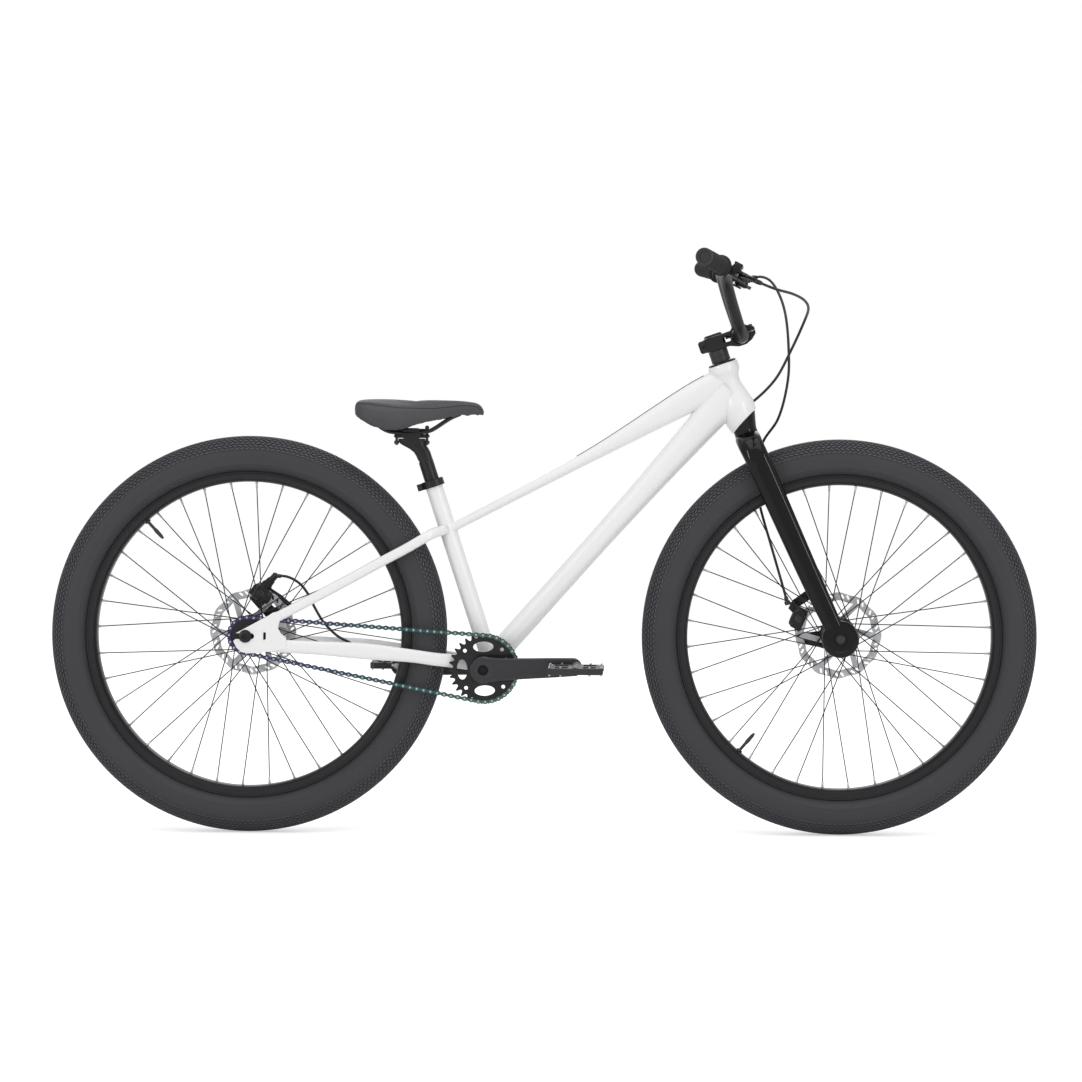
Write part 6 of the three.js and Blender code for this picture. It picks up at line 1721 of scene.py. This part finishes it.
# Half a section of the cover and of the shell, from below: shares of the half width and of the height
COVER_SHARES = [(0, 0.4), (0.7, 0.36), (0.88, 0.02), (0.97, 0.12), (1, 0.4), (0.94, 0.7), (0.74, 0.91),
                (0.4, 0.99), (0, 1)]
SHELL_SHARES = [(0, 0.24), (0.64, 0.2), (0.66, 0.34), (0, 0.38)]
# A rail from front to back: [x, side, z]
RAIL_WAY = [(-158, 7, 768), (-176, 13, 760), (-212, 22, 737.5), (-224, 22, 735), (-282, 22, 735),
            (-298, 22.5, 741), (-314, 24, 754)]
SADDLE_GRIP = Vector((-246, 0, 735))
SEAM_SHARE = 0.8
# The cover's grain in metres, how often it is smoothed, and how full it is
COVER_GRAIN = 0.0027
COVER_PASSES = 14
CLOTH_FRAMES = 20
CLOTH_STRETCH = 40
CLOTH_BEND = 6
POST_RADIUS = 13.6
POST_FOOT = 229
POST_NECK = 398
# The post's head: [height from the rails' middle, how far behind the post's line, length, width]
POST_HEAD = [(-58, 0, 23.6, 23.6), (-50, 0, 28, 26.6), (-44, 0.4, 28.6, 26.8), (-37, 1.5, 31, 27),
             (-31, 5, 36, 27), (-26, 9.8, 42, 27.4), (-22, 13, 47, 28), (-17, 13.4, 50, 29),
             (-12.2, 12.3, 50, 30)]


def saddle_ring(x, half, low, high, shares, inset):
    """One closed ring across the saddle: up its left side from the middle below, then down its right."""
    tall = high - low
    side = [(half * y, low + tall * z) for y, z in shares]
    centre_z = (low + high) / 2
    points = []
    for y, z in side + [(-y, z) for y, z in side[-2:0:-1]]:
        away = Vector((y, z - centre_z))
        near = away * max(0.0, 1 - inset / max(away.length, 1e-6))
        points.append(Vector((x, near.x, centre_z + near.y)))
    return points


def oval_ring(centre, length, width, square=2.8, sides=40):
    """A level ring round a point, between an ellipse and a rectangle."""
    ring = []
    for k in range(sides):
        turn = 2 * math.pi * k / sides
        x, y = (math.copysign(abs(value) ** (2 / square), value)
                for value in (math.cos(turn), math.sin(turn)))
        ring.append(centre + Vector((x * length / 2, y * width / 2, 0)))
    return ring


def build_seatpost():
    f = finishes()
    post = Shape()
    reach = POST_NECK - POST_FOOT
    post.turned([(0, 0), (POST_RADIUS - 1, 0), (POST_RADIUS, 1), (POST_RADIUS, reach), (0, reach)],
                seat_point(POST_FOOT), SEAT_UP, 48)
    post.made("seatpost_tube", "seat", f.parts, "parts_black", ["seatpost"], sharp=30)
    rings = []
    for rise, back, length, width in POST_HEAD:
        height = SADDLE_GRIP.z + rise
        on_line = SEAT_FOOT + SEAT_UP * ((height - SEAT_FOOT.z) / SEAT_UP.z)
        rings.append(oval_ring(on_line - AHEAD * back, length, width))
    Shape().loft(rings).made("seatpost_head", "seat", f.parts, "parts_black", sharp=40)
    clamp = Shape()
    x, low, high = SADDLE_GRIP.x, SADDLE_GRIP.z - 12, SADDLE_GRIP.z
    half = [(x - 16, low + 3), (x - 13, low), (x + 13, low), (x + 16, low + 3), (x + 17, high - 0.5),
            (x - 17, high - 0.5)]
    clamp.plate(half, -26, 26, chamfer=1.4)
    clamp.plate([(x - 15, high + 0.5), (x + 15, high + 0.5), (x + 15, high + 4), (x + 11, high + 7),
                 (x - 11, high + 7), (x - 15, high + 4)], -26, 26, chamfer=1.2)
    clamp.plate([(x - 33, low + 4), (x - 30, low + 1), (x + 30, low + 1), (x + 33, low + 4),
                 (x + 31, low + 8), (x - 31, low + 8)],
                -9, 9, chamfer=1.4)
    clamp.plate([(x - 33, high + 2), (x + 33, high + 2), (x + 31, high + 6), (x - 31, high + 6)], -8, 8,
                chamfer=1.2)
    clamp.made("saddle_clamp_plates", "seat", f.parts, "parts_black", ["saddle_clamp"], sharp=30)
    bolts = Shape()
    for ahead in (-28, 28):
        bolts.rod(Vector((x + ahead, 0, low - 12)), Vector((x + ahead, 0, high + 7)), 2.5, 18)
        bolts.turned([(0, 0), (4.4, 0), (4.6, 1), (4.6, 5), (3.8, 6), (0, 6)],
                     Vector((x + ahead, 0, low - 10)), UP, 20)
        bolts.rod(Vector((x + ahead, -8, high + 8.4)), Vector((x + ahead, 8, high + 8.4)), 3.6, 20, 0.6)
    bolts.made("saddle_clamp_bolts", "seat", f.bolt, "parts_black", sharp=30)


def build_saddle_base():
    """The shell under the cushion and the two rails that the clamp holds."""
    f = finishes()
    rings = [saddle_ring(*row, SHELL_SHARES, 0.6) for row in smooth_way(SADDLE_WAY, 3)[2:-2]]
    shell = Shape().loft(rings)
    shell.made("saddle_shell", "seat", f.plastic, "saddle_plastic", ["saddle_base"], sharp=40)
    rails = Shape()
    for side in (1, -1):
        way = [Vector((x, side * y, z)) for x, y, z in smooth_way(RAIL_WAY, 8)]
        rails.tube(way, 3.5, 20)
        rails.turned([(0, 0), (6.4, 0), (6.8, 1), (5.6, 9), (0, 9)], Vector((-318, side * 24.4, 757)),
                     Vector((0.25, 0, -0.97)), 20)
    rails.made("saddle_rails", "seat", f.parts, "saddle_plastic", sharp=30)


def inflate(cushion, settings):
    """Fills the cover under light pressure, so that it stands a little proud of its seams."""
    copy = cushion.copy()
    copy.data = cushion.data.copy()
    bpy.context.collection.objects.link(copy)
    rest = [v.co.copy() for v in copy.data.vertices]
    cloth = copy.modifiers.new("fill", "CLOTH")
    cloth.settings.use_pressure = True
    cloth.settings.uniform_pressure_force = settings.cover_pressure
    cloth.settings.effector_weights.gravity = 0.0
    cloth.settings.tension_stiffness = cloth.settings.compression_stiffness = CLOTH_STRETCH
    cloth.settings.bending_stiffness = CLOTH_BEND
    cloth.collision_settings.use_collision = False
    cloth.point_cache.frame_start, cloth.point_cache.frame_end = 1, CLOTH_FRAMES
    scene = bpy.context.scene
    for frame_number in range(1, CLOTH_FRAMES + 1):
        scene.frame_set(frame_number)
    filled = copy.evaluated_get(bpy.context.evaluated_depsgraph_get()).to_mesh()
    most = settings.cover_swell
    for vertex, start, moved in zip(cushion.data.vertices, rest, filled.vertices):
        step = moved.co - start
        vertex.co = start + step * min(1.0, most / max(step.length, 1e-9))
    copy.to_mesh_clear()
    scene.frame_set(1)
    bpy.data.objects.remove(copy)


def keep_modified(piece):
    """Gives the piece the mesh that its modifiers make of it."""
    made = bpy.data.meshes.new_from_object(piece.evaluated_get(bpy.context.evaluated_depsgraph_get()))
    piece.modifiers.clear()
    piece.data = made


def build_saddle_cushion(settings):
    """The padded cover: wide at the back, with a shallow dip and stitched seams beside it."""
    rings = [saddle_ring(*row, COVER_SHARES, 1.2) for row in smooth_way(SADDLE_WAY, 4)]
    shape = Shape().loft(rings)
    mesh = bpy.data.meshes.new("saddle_cover")
    mesh.from_pydata([p * MM for p in shape.points], [], shape.faces)
    cover = bpy.data.objects.new("saddle_cover", mesh)
    bpy.context.collection.objects.link(cover)
    weld(mesh)
    remesh = cover.modifiers.new("even", "REMESH")
    remesh.mode = "VOXEL"
    remesh.voxel_size = COVER_GRAIN
    level = cover.modifiers.new("level", "SMOOTH")
    level.factor = 0.5
    level.iterations = COVER_PASSES
    keep_modified(cover)
    inflate(cover, settings)
    rounding = cover.modifiers.new("round", "SUBSURF")
    rounding.levels = rounding.render_levels = 1
    keep_modified(cover)
    cover.data.materials.append(finishes().cover.material)
    cover.data.shade_smooth()
    settle(cover, "seat", ["saddle_cushion"])
    build_saddle_seams(cover)


def build_saddle_seams(cover):
    """Two sewn seams that run along the shoulders from the back to the nose, laid on the finished cover."""
    seams = Shape()
    for side in (1, -1):
        way = []
        for x, half, _, high in smooth_way(SADDLE_WAY[1:-1], 5):
            above = Vector((x, side * half * SEAM_SHARE, high + 20)) * MM
            hit, at, _, _ = cover.ray_cast(above, -UP)
            if hit:
                way.append(at / MM)
        seams.tube(way, 0.75, 8)
    seams.made("saddle_seams", "seat", finishes().plastic, "saddle_cover")


def build_seat(settings):
    build_seatpost()
    build_saddle_base()
    build_saddle_cushion(settings)


# The add-on: its settings, an operator for each piece or group, and a panel


class BikeSettings(bpy.types.PropertyGroup):
    frame_colour: FloatVectorProperty(
        name="Frame colour", description="Paint of the frame", subtype="COLOR", size=3,
        default=(0.87, 0.87, 0.87))
    part_colour: FloatVectorProperty(
        name="Part colour", description="Anodised parts", subtype="COLOR", size=3,
        default=(0.012, 0.012, 0.014))
    tyre_colour: FloatVectorProperty(
        name="Tyre colour", description="Rubber of the tyres", subtype="COLOR", size=3,
        default=(0.034, 0.034, 0.039))
    floor_glow: FloatProperty(
        name="Floor glow", description="Light that the floor adds for the camera", default=0.46, min=0.0)
    world_light: FloatProperty(
        name="World light", description="Strength of the surroundings", default=0.62, min=0.0)
    cover_pressure: FloatProperty(
        name="Cover pressure", description="How hard the saddle's foam presses its cover out", default=4.0,
        min=0.0)
    cover_swell: FloatProperty(
        name="Cover swell", description="Most that the saddle's cover may move", unit="LENGTH",
        default=0.006, min=0.0)
    lamp_power: FloatProperty(
        name="Lamp power", description="Share of the lamps' full power", default=0.64, min=0.0)


class BIKE_OT_stage(bpy.types.Operator):
    """Builds the floor, the surroundings, the lamps and the camera"""
    bl_idname = "bike.stage"
    bl_label = "Build the stage"

    def execute(self, context):
        settings = context.scene.dirt_jump_bike
        build_floor(settings)
        build_world(settings)
        build_lamps(settings)
        build_camera()
        context.scene.view_settings.view_transform = "Standard"
        return {"FINISHED"}


class BIKE_OT_wheels(bpy.types.Operator):
    """Builds both wheels: tyres, tubes, rims, spokes, hubs and rotors"""
    bl_idname = "bike.wheels"
    bl_label = "Build the wheels"

    def execute(self, context):
        build_wheels()
        return {"FINISHED"}


class BIKE_OT_frame(bpy.types.Operator):
    """Builds the frame: its tubes, welds, stays, dropouts, headset and seat clamp"""
    bl_idname = "bike.frame"
    bl_label = "Build the frame"

    def execute(self, context):
        build_frame()
        return {"FINISHED"}


class BIKE_OT_drive(bpy.types.Operator):
    """Builds the drive: cranks, chainring, chain, cog, pedals and bottom bracket"""
    bl_idname = "bike.drive"
    bl_label = "Build the drive"

    def execute(self, context):
        build_drive()
        return {"FINISHED"}


class BIKE_OT_steering(bpy.types.Operator):
    """Builds the fork, front axle, stem, handlebar, grips and brake levers"""
    bl_idname = "bike.steering"
    bl_label = "Build the steering"

    def execute(self, context):
        build_steering()
        return {"FINISHED"}


class BIKE_OT_brakes(bpy.types.Operator):
    """Builds the brake hoses and calipers"""
    bl_idname = "bike.brakes"
    bl_label = "Build the brakes"

    def execute(self, context):
        build_brakes()
        return {"FINISHED"}


class BIKE_OT_seat(bpy.types.Operator):
    """Builds the seatpost, its clamp, the saddle's base and its padded cover"""
    bl_idname = "bike.seat"
    bl_label = "Build the seat"

    def execute(self, context):
        build_seat(context.scene.dirt_jump_bike)
        return {"FINISHED"}


PIECES = [BIKE_OT_wheels, BIKE_OT_frame, BIKE_OT_drive, BIKE_OT_steering, BIKE_OT_brakes, BIKE_OT_seat,
          BIKE_OT_stage]


class BIKE_PT_panel(bpy.types.Panel):
    """Panel of the bike in the sidebar of the 3D view"""
    bl_idname = "BIKE_PT_panel"
    bl_label = "Dirt Jump Bike"
    bl_space_type = "VIEW_3D"
    bl_region_type = "UI"
    bl_category = "Dirt Jump Bike"

    def draw(self, context):
        settings = context.scene.dirt_jump_bike
        for name in settings.__annotations__:
            self.layout.prop(settings, name)
        for piece in PIECES:
            self.layout.operator(piece.bl_idname)


CLASSES = [BikeSettings, *PIECES, BIKE_PT_panel]


def register():
    for each in CLASSES:
        bpy.utils.register_class(each)
    bpy.types.Scene.dirt_jump_bike = PointerProperty(type=BikeSettings)


def unregister():
    del bpy.types.Scene.dirt_jump_bike
    for each in reversed(CLASSES):
        bpy.utils.unregister_class(each)


def main():
    register()
    for piece in PIECES:
        group, name = piece.bl_idname.split(".")
        getattr(getattr(bpy.ops, group), name)()


if __name__ == "__main__":
    main()
